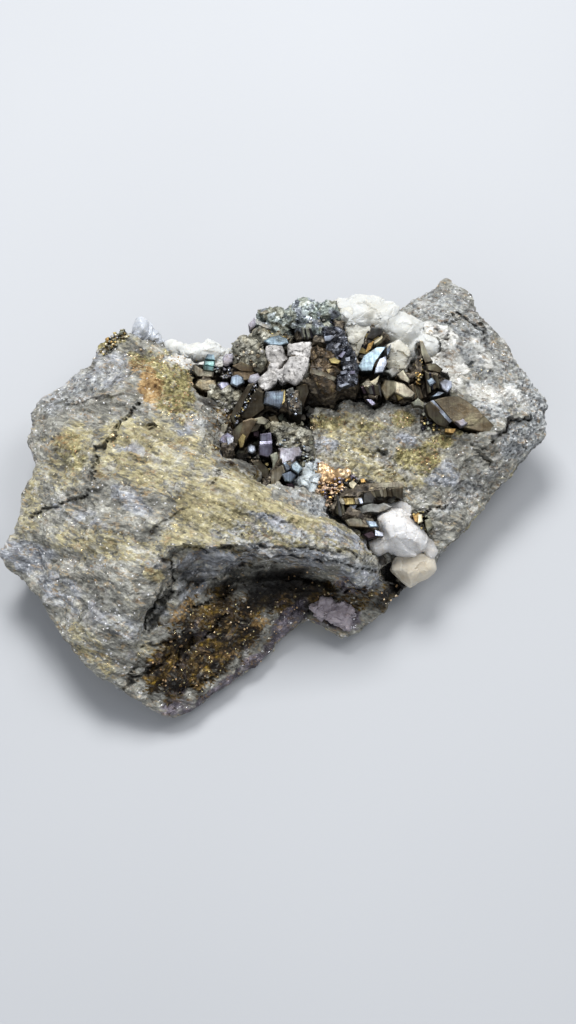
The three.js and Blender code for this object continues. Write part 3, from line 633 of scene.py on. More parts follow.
class Nodes:
    """A short way to build one node tree."""

    def __init__(self, tree: Tree) -> None:
        """Takes the tree to build in."""
        self.tree = tree

    def feed(self, node: Node, inputs: dict) -> None:
        """Sets or links a node's inputs, by name or number."""
        for key, value in inputs.items():
            if isinstance(value, Socket):
                self.tree.links.new(value, node.inputs[key])
            else:
                node.inputs[key].default_value = value

    def add(self, kind: str, inputs: dict | None = None, **settings: object) -> Node:
        """Adds a node.

        Args:
            kind: the node's type name.
            inputs: values or sockets by input name or number.
            settings: properties of the node.

        Returns:
            The new node.
        """
        made = self.tree.nodes.new(kind)
        for key, value in settings.items():
            setattr(made, key, value)
        self.feed(made, inputs or {})
        return made

    def math(self, operation: str, *values: object, clamp: bool = False) -> Socket:
        """The result of a Math node."""
        settings = {"operation": operation, "use_clamp": clamp}
        return self.add("ShaderNodeMath", dict(enumerate(values)), **settings).outputs[0]

    def product(self, *values: object, clamp: bool = False) -> Socket:
        """Two values multiplied."""
        return self.math("MULTIPLY", *values, clamp=clamp)

    def plus(self, value: object, share: object, rest: object, clamp: bool = False) -> Socket:
        """A share of a value added to the rest."""
        return self.math("MULTIPLY_ADD", value, share, rest, clamp=clamp)

    def vector(self, operation: str, first: object, second: object) -> Socket:
        """The result of a Vector Math node; SCALE takes a number second."""
        key = "Scale" if operation == "SCALE" else 1
        return self.add("ShaderNodeVectorMath", {0: first, key: second}, operation=operation).outputs[0]

    def mix(self, share: object, first: object, second: object, blend: str = "MIX") -> Socket:
        """One colour laid over another."""
        settings = {"data_type": "RGBA", "blend_type": blend, "clamp_factor": True}
        return self.add("ShaderNodeMix", {0: share, 6: first, 7: second}, **settings).outputs[2]

    def ramp(self, share: Socket, *stops: tuple[float, str]) -> Socket:
        """A colour that runs through hex stops as share goes from 0 to 1."""
        made = self.add("ShaderNodeValToRGB", {0: share})
        band = made.color_ramp
        while len(band.elements) < len(stops):
            band.elements.new(0.5)
        for element, (place, code) in zip(band.elements, stops):
            element.position = place
            element.color = colour(code)
        return made.outputs[0]

    def range(
        self, value: object, low: float, high: float, to_low: object = 0.0, to_high: object = 1.0
    ) -> Socket:
        """Stretches low..high to to_low..to_high, clamped."""
        return self.add("ShaderNodeMapRange", {0: value, 1: low, 2: high, 3: to_low, 4: to_high}).outputs[0]

    def attribute(self, name: str, part: str = "Fac") -> Socket:
        """A named value kept on the mesh."""
        return self.add("ShaderNodeAttribute", attribute_name=name).outputs[part]

    def place(self) -> Socket:
        """The place on the object, in metres."""
        return self.add("ShaderNodeTexCoord").outputs["Object"]

    def noise(self, at: object, scale: object, detail: float, rough: float = 0.5, **more: object) -> Node:
        """A Noise Texture node."""
        inputs = {"Vector": at, "Scale": scale, "Detail": detail, "Roughness": rough, **more}
        return self.add("ShaderNodeTexNoise", inputs, noise_dimensions="4D" if more else "3D")

    def cells(self, at: object, scale: object) -> Node:
        """A Voronoi Texture node."""
        return self.add("ShaderNodeTexVoronoi", {"Vector": at, "Scale": scale})

    def chance(self, cells: Node) -> Socket:
        """A random value for each cell of a Voronoi Texture."""
        return self.add("ShaderNodeSeparateColor", {0: cells.outputs["Color"]}).outputs[0]

    def effect(self, tree: Tree, **inputs: object) -> Socket:
        """A shared effect, with its own values."""
        return self.add("ShaderNodeGroup", inputs, node_tree=tree).outputs[0]

    def bump(self, height: object, strength: float, distance: float) -> Socket:
        """A normal that stands for relief of some millimetres."""
        inputs = {"Height": height, "Strength": strength, "Distance": distance * MM}
        return self.add("ShaderNodeBump", inputs).outputs[0]


class Effects:
    """The surface effects that several finishes share, each a node group built once."""

    @staticmethod
    def _group(name: str, **inputs: float) -> tuple[Nodes, Sockets, Node]:
        """Starts a group that gives one value.

        Args:
            name: the group's name.
            inputs: default of each input, by its name.

        Returns:
            The tree's node helper, the sockets of its inputs, and the node that takes its value.
        """
        tree = bpy.data.node_groups.new(name, "ShaderNodeTree")
        kind = "NodeSocketFloat"
        for key, value in inputs.items():
            tree.interface.new_socket(key, in_out="INPUT", socket_type=kind).default_value = value
        tree.interface.new_socket("Value", in_out="OUTPUT", socket_type=kind)
        n = Nodes(tree)
        return n, n.add("NodeGroupInput").outputs, n.add("NodeGroupOutput")

    @staticmethod
    def _scale(n: Nodes, start: Sockets) -> Socket:
        """How many lumps of the group's size, in millimetres, go in a metre."""
        return n.math("DIVIDE", 1000.0, start["Size"])

    @staticmethod
    def _laid(n: Nodes, start: Sockets, place: Socket) -> Socket:
        """A place turned about the upward axis and squeezed along its first one."""
        turning = {"Vector": place, "Angle": start["Turn"]}
        turned = n.add("ShaderNodeVectorRotate", turning, rotation_type="Z_AXIS")
        split = n.add("ShaderNodeSeparateXYZ", {0: turned.outputs[0]}).outputs
        squeezed = n.math("DIVIDE", split[0], start["Stretch"])
        return n.add("ShaderNodeCombineXYZ", {0: squeezed, 1: split[1], 2: split[2]}).outputs[0]

    @staticmethod
    @cache
    def grain() -> Tree:
        """Streaky or even mineral grain: a value from 0 to 1, set by size in millimetres and stretch."""
        n, start, end = Effects._group("Mineral grain", Size=1.0, Stretch=1.0, Turn=0.0)
        place = n.place()
        sway = n.vector("SUBTRACT", n.noise(place, 60.0, 1.0).outputs["Color"], (0.5, 0.5, 0.5))
        bent = n.vector("ADD", place, n.vector("SCALE", sway, 0.008))
        fine = n.noise(Effects._laid(n, start, bent), Effects._scale(n, start), 4.0, 0.65)
        n.feed(end, {0: n.range(fine.outputs["Fac"], 0.3, 0.7)})
        return n.tree

    @staticmethod
    @cache
    def flakes() -> Tree:
        """A random value, 0 to 1, for each mineral flake of a size in millimetres and a stretch."""
        n, start, end = Effects._group("Mineral flakes", Size=0.6, Stretch=1.0, Turn=0.0)
        laid = Effects._laid(n, start, n.place())
        n.feed(end, {0: n.chance(n.cells(laid, Effects._scale(n, start)))})
        return n.tree

    @staticmethod
    @cache
    def frayed() -> Tree:
        """A mask whose edge is broken up by noise of a size in millimetres and by a value of its own."""
        n, start, end = Effects._group("Frayed edge", Mask=0.0, Size=1.0, Seed=0.0, Break=0.5)
        cloud = n.noise(n.place(), Effects._scale(n, start), 5.0, 0.7, W=start["Seed"])
        pushed = n.plus(cloud.outputs["Fac"], 2.2, -1.1)
        pushed = n.math("ADD", pushed, n.plus(start["Break"], 1.1, -0.55))
        n.feed(end, {0: n.range(n.plus(start["Mask"], 1.45, pushed), 0.3, 1.15)})
        return n.tree

    @staticmethod
    @cache
    def glints() -> Tree:
        """A mask of scattered round grains of a size in millimetres."""
        n, start, end = Effects._group("Glinting grains", Size=0.5, Share=0.1)
        cells = n.cells(n.place(), Effects._scale(n, start))
        chosen = n.math("LESS_THAN", n.chance(cells), start["Share"])
        n.feed(end, {0: n.product(chosen, n.math("LESS_THAN", cells.outputs["Distance"], 0.5))})
        return n.tree

    @staticmethod
    @cache
    def tooth() -> Tree:
        """Fine relief for a Bump node: noise and small cells of a size in millimetres."""
        n, start, end = Effects._group("Fine tooth", Size=0.8, Cells=0.5)
        place, scale = n.place(), Effects._scale(n, start)
        rough = n.noise(place, scale, 6.0, 0.72).outputs["Fac"]
        lumps = n.product(n.cells(place, scale).outputs["Distance"], start["Cells"])
        n.feed(end, {0: n.math("SUBTRACT", rough, lumps)})
        return n.tree


def grain(n: Nodes, size: float, stretch: float = 1.0, turn: float = 0.0) -> Socket:
    """The shared grain, of a size in millimetres, in a material."""
    return n.effect(Effects.grain(), Size=size, Stretch=stretch, Turn=turn)


class Finish:
    """A surface finish, whose material is made once and then shared."""

    name: str

    def surface(self, n: Nodes) -> dict[str, object]:
        """The shader's inputs by name, which each finish sets in its own way."""
        raise NotImplementedError

    @cache
    def material(self) -> Material:
        """The material."""
        made = bpy.data.materials.new(self.name)
        made.use_nodes = True
        n = Nodes(made.node_tree)
        n.feed(made.node_tree.nodes["Principled BSDF"], self.surface(n))
        return made


@dataclass(frozen=True)
class RockFinish(Finish):
    """Foliated schist, its zones mixed by the values kept on the mesh."""

    name: str = "schist"
    grey_green: Stops = ((0.0, "3c3b35"), (0.35, "72716a"), (0.7, "a09f96"), (1.0, "dad9d2"))
    straw: Stops = ((0.0, "4c4630"), (0.35, "8b8260"), (0.7, "b7ae88"), (1.0, "e2dcbc"))
    steel: Stops = ((0.0, "34363a"), (0.35, "6f7277"), (0.7, "a2a5aa"), (1.0, "dfe2e8"))
    rust: Stops = ((0.0, "52391f"), (0.35, "8a6c44"), (0.7, "b09262"), (1.0, "d6c09a"))
    druse: Stops = ((0.0, "2e2a18"), (0.3, "6a633e"), (0.65, "a39a6a"), (1.0, "e8deae"))
    chalk: Stops = ((0.0, "45474b"), (0.25, "6e7174"), (0.55, "999c9c"), (1.0, "d8dada"))
    milk: Stops = ((0.0, "8c8a82"), (0.2, "b6b4ac"), (0.5, "d4d3cd"), (1.0, "eeeeea"))
    bronze: Stops = ((0.0, "030200"), (0.38, "140b03"), (0.65, "34260c"), (0.88, "68521a"), (1.0, "b8963c"))
    violet: Stops = ((0.0, "1c181c"), (0.35, "3c373d"), (0.7, "5c565e"), (1.0, "948c96"))
    turn: float = 0.42  # of the streaks, in radians

    def surface(self, n: Nodes) -> dict[str, object]:
        """The shader's inputs by name."""
        flake, single = n.attribute("flake"), n.attribute("grain")
        streaks = grain(n, 0.75, 3.6, self.turn)
        even = grain(n, 0.8)
        coarse = grain(n, 3.6, 2.0, self.turn)
        fibres = n.effect(Effects.flakes(), Size=0.4, Stretch=2.6, Turn=self.turn)
        specks = n.effect(Effects.flakes(), Size=0.45, Stretch=1.0, Turn=0.0)
        grainy = n.range(n.attribute("granular"), 0.2, 0.7)
        speckle = n.add("ShaderNodeMix", {0: grainy, 2: streaks, 3: even}).outputs[0]
        flecks = n.add("ShaderNodeMix", {0: grainy, 2: fibres, 3: specks}).outputs[0]

        def blend(first: object, second: object, third: object) -> object:
            """Mixes three values about a half and widens their spread."""
            total = n.plus(first, 0.36, n.product(second, 0.2))
            total = n.plus(third, 0.2, total)
            return n.range(n.plus(coarse, 0.28, total), 0.2, 0.84)

        tone = blend(speckle, flecks, flake)
        even_tone = blend(even, specks, single)
        chipped = n.plus(n.attribute("chip"), 0.5, n.product(even_tone, 0.6))
        broken = {}
        for k, zone in enumerate(Zone):
            mask, splits = n.attribute(zone.value), flake if k % 2 else fibres
            broken[zone] = n.effect(Effects.frayed(), Mask=mask, Size=2.2, Seed=3.7 * k, Break=splits)
        base = n.ramp(tone, *self.grey_green)
        for zone, stops, share in (
            (Zone.STRAW, self.straw, tone),
            (Zone.STEEL, self.steel, tone),
            (Zone.DRUSE, self.druse, even_tone),
            (Zone.CHALK, self.chalk, even_tone),
            (Zone.MILK, self.milk, even_tone),
            (Zone.BRONZE, self.bronze, chipped),
            (Zone.VIOLET, self.violet, chipped),
            (Zone.RUST, self.rust, even_tone),
        ):
            base = n.mix(broken[zone], base, n.ramp(share, *stops))
        milk, druse, bronze, violet = (broken[z] for z in (Zone.MILK, Zone.DRUSE, Zone.BRONZE, Zone.VIOLET))
        # painted shade: the shade zone is laid on in near black
        dark = n.product(n.attribute(Zone.DEEP.value), 0.93, clamp=True)
        base = n.mix(dark, base, colour("0b0806"))
        # painted shade: darkens the low parts of the relief, where shade gathers
        base = n.mix(n.range(n.attribute("relief"), 0.5, 0.1, 0.0, 0.6), base, colour("171410"))
        golden = n.math("MAXIMUM", druse, n.math("MAXIMUM", broken[Zone.STRAW], bronze))
        # bright mineral grains, painted near white or pale gold as painted glints, with a metallic shine of
        # their own
        spark = n.mix(golden, colour("eeeef2"), colour("ead9a0"))
        bright = n.product(n.effect(Effects.glints(), Size=0.42, Share=0.04), n.math("SUBTRACT", 1.0, dark))
        base = n.mix(n.product(bright, 0.65), base, spark)
        pepper = n.effect(Effects.glints(), Size=0.55, Share=0.09)
        pepper = n.product(pepper, n.plus(n.attribute(Zone.CHALK.value), 0.5, 0.3))
        plain = n.math("MAXIMUM", milk, n.math("MAXIMUM", bronze, violet))
        base = n.mix(n.product(pepper, n.math("SUBTRACT", 1.0, plain, clamp=True)), base, colour("26262a"))
        gloss = n.plus(bronze, -0.22, n.plus(violet, -0.5, 0.78))
        metal = n.plus(bronze, 0.55, n.product(bright, 0.8), clamp=True)
        return {
            "Base Color": base,
            "Roughness": n.math("MAXIMUM", n.plus(bright, -0.45, gloss, clamp=True), 0.2),
            "Metallic": n.plus(druse, 0.25, metal, clamp=True),
            "Normal": n.bump(n.plus(speckle, 0.6, n.effect(Effects.tooth(), Size=1.0, Cells=0.5)), 0.85, 0.4),
        }


@dataclass(frozen=True)
class CrystalFinish(Finish):
    """Tarnished metal faces, striped along each crystal's own axis."""

    name: str = "cubanite"
    stripe: float = 0.42
    stripe_strength: float = 0.5
    gloss: float = 0.24
    metal: float = 0.9
    tarnish: Stops = ((0.1, "8a6a3a"), (0.5, "6a6f8e"), (0.9, "9ab0b4"))

    def surface(self, n: Nodes) -> dict[str, object]:
        """The shader's inputs by name."""
        dull = n.attribute("dull")
        stretched = n.vector("MULTIPLY", n.attribute("own", "Vector"), (1.0, 0.07, 0.07))
        stripes = n.noise(stretched, 1 / self.stripe, 3.0, 0.6).outputs["Fac"]
        cloud = n.noise(n.place(), 420.0, 4.0, 0.6).outputs["Fac"]
        film = n.ramp(n.range(cloud, 0.35, 0.65), *self.tarnish)
        base = n.mix(0.4, n.attribute("tint", "Color"), film, "SOFT_LIGHT")
        base = n.vector("SCALE", base, n.range(cloud, 0.3, 0.7, 0.6, 1.45))
        faint = n.plus(dull, -0.7, 1.0)
        base = n.mix(n.product(n.range(stripes, 0.35, 0.7, 0.45, 0.0), faint), base, colour("0d0a08"))
        # painted light and reflection: the lit value of each corner brightens or dims the colour across each
        # face
        base = n.vector("SCALE", base, n.attribute("lit"))
        pitted = grain(n, 0.7)
        pits = n.product(dull, n.range(pitted, 0.55, 0.2, 0.0, 0.6))
        height = n.plus(stripes, self.stripe_strength, n.product(pitted, n.plus(dull, 0.5, 0.15)))
        return {
            "Base Color": n.mix(pits, base, colour("4c4a47")),
            "Roughness": n.plus(dull, 0.45, n.range(cloud, 0.3, 0.7, self.gloss, self.gloss + 0.16)),
            "Metallic": n.plus(dull, -0.75, self.metal, clamp=True),
            "Normal": n.bump(height, 0.6, 0.3),
        }


@dataclass(frozen=True)
class CalciteFinish(Finish):
    """Milky calcite, mottled with cream, with a soft sheen on its breaks."""

    name: str = "calcite"
    pale: str = "c2c3c0"
    shade: str = "b0ac9e"
    grey: str = "989a9c"
    gloss: float = 0.38

    def surface(self, n: Nodes) -> dict[str, object]:
        """The shader's inputs by name."""
        soft, fine = grain(n, 4.5, 1.4, 0.3), grain(n, 1.1)
        base = n.mix(n.range(soft, 0.45, 0.9, 0.0, 0.55), colour(self.pale), colour(self.shade))
        return {
            "Base Color": n.mix(n.range(fine, 0.65, 1.0, 0.0, 0.4), base, colour(self.grey)),
            "Roughness": n.range(fine, 0.2, 0.8, self.gloss, self.gloss + 0.25),
            "Subsurface Weight": 0.5,
            "Subsurface Radius": (1.0, 0.9, 0.75),
            "Subsurface Scale": 0.0025,
            "Normal": n.bump(n.effect(Effects.tooth(), Size=1.3, Cells=0.6), 0.5, 0.3),
        }


@dataclass(frozen=True)
class CrustFinish(Finish):
    """Rough tarnished crystals grown into a crust, each small face with a tone and a cast of its own."""

    name: str
    tones: tuple[str, str, str, str]
    casts: tuple[str, str, str]
    cast_share: float = 0.5
    metal: float = 0.35
    gloss: float = 0.4

    def surface(self, n: Nodes) -> dict[str, object]:
        """The shader's inputs by name."""
        pitted, cast = grain(n, 0.8), n.attribute("cast")
        tone = n.plus(n.attribute("chip"), 0.5, n.product(pitted, 0.55))
        base = n.ramp(tone, *zip((0.1, 0.4, 0.7, 0.95), self.tones))
        base = n.mix(self.cast_share, base, n.ramp(cast, *zip((0.15, 0.5, 0.85), self.casts)), "SOFT_LIGHT")
        return {
            "Base Color": n.mix(n.range(pitted, 0.34, 0.16, 0.0, 0.75), base, colour("2c2a28")),
            "Roughness": n.range(pitted, 0.2, 0.8, self.gloss + 0.2, self.gloss),
            "Metallic": n.product(cast, self.metal * 1.6, clamp=True),
            "Normal": n.bump(n.effect(Effects.tooth(), Size=0.9, Cells=0.7), 0.7, 0.3),
        }


@dataclass(frozen=True)
class MetalGrainFinish(Finish):
    """Brassy metal in small crystals."""

    name: str = "chalcopyrite"
    tones: Stops = ((0.1, "7a6040"), (0.55, "c4a47c"), (0.95, "f4e8cc"))
    gloss: float = 0.28

    def surface(self, n: Nodes) -> dict[str, object]:
        """The shader's inputs by name."""
        lump = grain(n, 1.6)
        return {
            "Base Color": n.ramp(lump, *self.tones),
            "Roughness": n.range(lump, 0.0, 1.0, self.gloss + 0.15, self.gloss),
            "Metallic": n.range(lump, 0.0, 0.3, 0.5, 0.7),
            "Normal": n.bump(n.effect(Effects.tooth(), Size=0.8, Cells=0.7), 0.5, 0.2),
        }


@dataclass(frozen=True)
class FloorFinish(Finish):
    """A plain pale floor."""

    name: str = "pale floor"
    tones: Stops = ((0.3, "a6a8ab"), (0.7, "abadb0"))

    def surface(self, n: Nodes) -> dict[str, object]:
        """The shader's inputs by name."""
        soft = n.noise(n.place(), 6.0, 2.0).outputs["Fac"]
        return {"Base Color": n.ramp(soft, *self.tones), "Roughness": 0.7}


@dataclass
class Rock:
    """The slab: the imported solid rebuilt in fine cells, with layers, grain and clefts raised on it."""

    cell: float = 0.495
    ease: int = 5
    foliation: float = -24.0
    lumps: float = 0.6
    layers: float = 0.4
    shingles: float = 0.5
    grains: float = 0.36
    shatter: float = 0.7
    wander: float = 4.0  # steps that the noise moves the edges of clefts and breaks
    finish: RockFinish = RockFinish()

    def _laid(self, points: Array) -> Array:
        """Points squeezed along the foliation, so that what is even in them comes out as long splinters."""
        turn = math.radians(self.foliation)
        along = points[:, 0] * math.cos(turn) + points[:, 1] * math.sin(turn)
        across = -points[:, 0] * math.sin(turn) + points[:, 1] * math.cos(turn)
        sway = 2.4 * Noise.smooth(points, 20, 5) + 0.5 * Noise.smooth(points, 5, 6)
        return np.stack((along / 4.6, across + sway, points[:, 2] * 1.4), -1)

    def _relief(self, points: Array, masks: dict[Zone, Array], granular: Array) -> Array:
        """Height of the surface above the smooth rock, in millimetres."""
        laid = self._laid(points)
        ribs = Noise.ridges(laid, 2.2, 3, 11) - 0.55
        splinter, flake = Noise.cells(laid, 1.9, 13)[2], Noise.cells(laid, 4.2, 15)[2]
        shingle = 0.5 * (splinter[:, 0] - 0.5) + 0.75 * (flake[:, 0] - 0.5)
        near, second, single = Noise.cells(points + 0.5 * Noise.smooth(points, 1.5, 3)[:, None], 1.5, 21)
        grains = smooth(0.0, 0.35, second - near) - 0.6 + 0.7 * (single[:, 0] - 0.5)
        blocks = 1.5 * Noise.facets(points, 5.0, 27)[0] + 0.8 * Noise.facets(points, 2.2, 29)[0]
        shatter = np.maximum(masks[Zone.BRONZE], masks[Zone.DEEP] * 0.7)
        layered = (1 - 0.7 * granular) * (1 - 0.6 * shatter) * (1 - 0.7 * masks[Zone.MILK])
        height = self.lumps * Noise.layered(points, 8.0, 4, 1)
        height += layered * (self.layers * ribs + self.shingles * shingle)
        height += self.grains * (0.3 + 0.9 * granular) * grains
        height += self.shatter * (0.18 + 0.82 * shatter) * blocks
        height += 0.3 * (1 - 0.7 * masks[Zone.VIOLET]) * Noise.layered(points, 1.6, 3, 41)
        return height

    def _masks(self, points: Array, normals: Array) -> dict[Zone, Array]:
        """How much of each zone every corner has."""
        places = SHEET.places(points)
        seen = smooth(-0.15, 0.2, SHEET.facing(points, normals))
        wander = 0.3 * Noise.layered(points, 4.0, 3, 51)
        masks = {zone: np.zeros(len(points)) for zone in Zone}
        for patch in PATCHES:
            masks[patch.zone] = np.maximum(masks[patch.zone], patch.share(places, wander) * seen)
        for zone, low, size, seed in ((Zone.STRAW, 0.1, 14, 61), (Zone.STEEL, 0.0, 11, 67)):
            behind = (1 - seen) * smooth(low, 0.5, Noise.layered(points, size, 3, seed))
            masks[zone] = np.maximum(masks[zone], behind)
        masks[Zone.CHALK] *= 1 - 0.6 * masks[Zone.BRONZE]
        return masks

    def build(self) -> bpy.types.Object:
        """Builds and dresses the slab."""
        piece = remeshed(copied("rock_slab", ("matrix",)), self.cell, self.ease)
        mesh = piece.data
        points, normals = surface_of(mesh)
        masks = self._masks(points, normals)
        places = SHEET.places(points)
        wobble = np.stack([Noise.layered(points, 2.4, 3, seed) for seed in (71, 73)], -1) * self.wander
        seen = smooth(0.0, 0.35, SHEET.facing(points, normals))
        cleft, sunk = np.zeros(len(points)), np.zeros(len(points))
        raised = sum(step.lift(places + 0.7 * wobble) for step in STEPS) * seen
        for crack in CRACKS:
            share = crack.share(places + wobble) * seen
            cleft = np.maximum(cleft, share)
            sunk = np.maximum(sunk, share * crack.depth)
        rest = smooth(0.2, 1.6, points[:, 2])
        basin = BASIN.share(places, 0.2 * Noise.layered(points, 4.0, 2, 57))
        granular = masks[Zone.CHALK] + masks[Zone.DRUSE] + 0.4 * masks[Zone.BRONZE] + basin
        granular = np.clip(granular, 0, 1) * (1 - 0.6 * masks[Zone.MILK])
        relief = self._relief(points, masks, granular)
        moved = points + normals * (rest * relief)[:, None]
        moved += SHEET.along * ((sunk - raised) * rest)[:, None]
        moved[:, 2] = np.maximum(moved[:, 2], 0.0)
        write_points(mesh, moved)
        ragged = smooth(-0.7, 0.7, Noise.layered(points, 1.8, 2, 75))
        # painted shade: each crack's cleft joins the painted shade zone
        masks[Zone.DEEP] = np.maximum(masks[Zone.DEEP], cleft * ragged)
        for zone, share in masks.items():
            write_values(mesh, zone.value, share)
        write_values(mesh, "granular", granular)
        # the relief height, kept for painting shade into its low parts
        write_values(mesh, "relief", np.clip(0.5 + 0.4 * relief, 0, 1))
        write_values(mesh, "flake", Noise.cells(self._laid(points), 1.3, 17)[2][:, 0])
        write_values(mesh, "grain", Noise.cells(points, 1.1, 19)[2][:, 0])
        write_values(mesh, "chip", Noise.cells(points, 2.1, 25)[2][:, 0])
        dress(mesh, self.finish.material())
        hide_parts("matrix")
        return piece


@dataclass(frozen=True)
class Tone:
    """A crystal's colours, each partly its own and partly painted light: its end, lighter as if lit, its
    flanks, darker as painted shade, and how dull they are.
    """

    end: str
    shaded_flank: str
    dull: float = 0.0


ROOT = Tone("5c584e", "3c3830", 0.85)
BRONZE = Tone("827a64", "3c3426")
TAN = Tone("9c9480", "5a5140", 0.15)
BROWN = Tone("5c5443", "322a20", 0.15)
DARK = Tone("56544f", "302c27", 0.3)
INK = Tone("26242a", "100e0e")
TWIN = Tone("5a5d6c", "312d33", 0.1)
UMBER = Tone("776850", "3a2f24", 0.3)
PLUM = Tone("3c2f33", "1c1517")
STEEL = Tone("8c96a0", "2c3034")
TEAL = Tone("8ba6a2", "2b3b38")
GREY = Tone("bcb8b4", "7c7873", 0.9)
STONE = Tone("a5a49c", "62615b", 0.8)
VIOLET = Tone("86818e", "332d32")
MAUVE = Tone("a8a4aa", "625d62", 0.6)
LILAC = Tone("a4a0b0", "453f48")
CYAN = Tone("9fb0b8", "5c6669", 0.15)
OLIVE = Tone("8e8e7c", "55533f", 0.7)
GOLD = Tone("d4b070", "7a5c2c")
BRASS = Tone("a89664", "4c3f24", 0.1)
SILVER = Tone("b9bec8", "62666e", 0.1)
CREAM = Tone("d8d0b4", "a8a080", 0.9)
SMOOTH = Tone("7c7058", "453c2c", 0.3)
PEACH = Tone("e8cfb2", "b08860", 0.5)


MOST_BEVEL = 0.4  # the most of a crystal's end that its bevel takes
BEVEL_SLANT = 1.3  # a bevel's width for its height
FOOT_SHARE = 0.92  # a crystal's foot, as a share of its end
STRAY = 0.09  # how far a dull crystal's extra corners stray, as a share of its width
FLANK_GAIN = 1.25  # brightens flanks, which lie in shade
# painted light: LIT_SWING sets how much brighter one side of a crystal is painted than its middle
LIT_SWING = 0.38  # how much brighter one side of a crystal is than its middle


@dataclass(frozen=True)
class Crystal:
    """One crystal, by its end on the sheet.

    height is that of the end's middle, tip the degrees that the end turns right and up from the
    viewer, run the steps right and down that the flanks cover, and deep how far they go in.
    """

    end: Line | Array
    height: float
    tone: Tone
    tip: Pair = (0.0, 6.0)
    run: Pair = (0.0, 4.0)
    deep: float = 6.0
    bevel: float = 0.22

    def _corners(self, places: Array) -> tuple[list, list]:
        """The crystal's corners, ring by ring, and the same along its own axes."""
        centre, normal, rim = SHEET.rim(places, self.height, self.tip)
        reach = np.linalg.norm(rim - centre, axis=1).mean()
        inset = 1 - min(MOST_BEVEL, self.bevel * BEVEL_SLANT / reach)
        lean = np.array((self.run[0], 0, 0)) * SHEET.step - SHEET.up * self.run[1] * SHEET.step
        foot = (rim - centre) * FOOT_SHARE + centre + lean + SHEET.along * self.deep
        corners = np.concatenate(((rim - centre) * inset + centre, rim - normal * self.bevel, foot))
        axis = foot.mean(0) - centre
        axis /= np.linalg.norm(axis)
        side = np.cross(axis, SHEET.up)
        side /= np.linalg.norm(side)
        own = corners @ np.stack((side, np.cross(side, axis), axis), 1)
        return [Vector(c) for c in corners], own.tolist()

    def grow(self, store: MeshStore, chance: np.random.Generator) -> None:
        """Adds the crystal to a mesh as one closed body with a bevelled end."""
        places = corners_of(self.end)
        if self.tone.dull > 0.5 and len(places) < 8:
            halfway = (places + np.roll(places, -1, 0)) / 2
            halfway += chance.uniform(-STRAY, STRAY, halfway.shape) * np.ptp(places, axis=0).mean()
            places = np.stack((places, halfway), 1).reshape(-1, 2)
        count = len(places)
        faces = tube_faces(count, 3)
        # painted light and shade: ends take the lighter colour, flanks the darker one, brightened again by
        # FLANK_GAIN
        end, shaded_flank = np.array(colour(self.tone.end)), np.array(colour(self.tone.shaded_flank)) * FLANK_GAIN
        tints, dull = [], []
        for f in range(len(faces)):
            # painted highlights: bevel faces take the end colour brightened or dimmed at random, for glints
            # along the edges
            base = end if f == 0 else (end * chance.uniform(0.7, 1.5) if 2 <= f < 2 + count else shaded_flank)
            tints.append((*(base[:3] * chance.uniform(0.8, 1.2)), 1.0))
            dull.append(float(np.clip(self.tone.dull + chance.uniform(-0.1, 0.1), 0, 1)))
        sway = chance.uniform(0, 2 * math.pi)
        turns = [sway + 2 * math.pi * c / count for c in range(count)]
        # painted light: one side of each crystal brighter, the other darker
        lit = [1 + LIT_SWING * math.sin(t) + chance.uniform(-0.12, 0.12) for t in turns]
        store.add(*self._corners(places), lit * 3, faces, tints, dull)


@dataclass(frozen=True)
class Stack:
    """Plates side by side over a four-cornered patch of the sheet, from its first edge to its third."""

    corners: Line
    heights: Pair
    tones: tuple[Tone, ...]
    count: int
    tip: Pair = (0.0, 6.0)
    run: Pair = (0.0, 4.0)
    deep: float = 5.0
    step: float = 0.35
    ragged: float = 1.2

    def grow(self, store: MeshStore, chance: np.random.Generator) -> None:
        """Adds every plate to a mesh."""
        a, b, c, d = corners_of(self.corners)
        cuts = np.cumsum(chance.uniform(0.5, 1.5, self.count))
        cuts = np.concatenate(((0,), cuts / cuts[-1]))
        for k, (low, high) in enumerate(zip(cuts, cuts[1:])):
            fray = chance.uniform(-self.ragged, self.ragged, (4, 2))
            quad = (a + (d - a) * low, b + (c - b) * low, b + (c - b) * high, a + (d - a) * high)
            height = self.heights[0] + (self.heights[1] - self.heights[0]) * (low + high) / 2
            height += chance.uniform(-self.step, self.step)
            tip = (self.tip[0] + chance.uniform(-9, 9), self.tip[1] + chance.uniform(-9, 9))
            plate = np.array(quad) + fray * (0.5, 1.0)
            tone = self.tones[k % len(self.tones)]
            Crystal(plate, height, tone, tip, self.run, self.deep, 0.12).grow(store, chance)


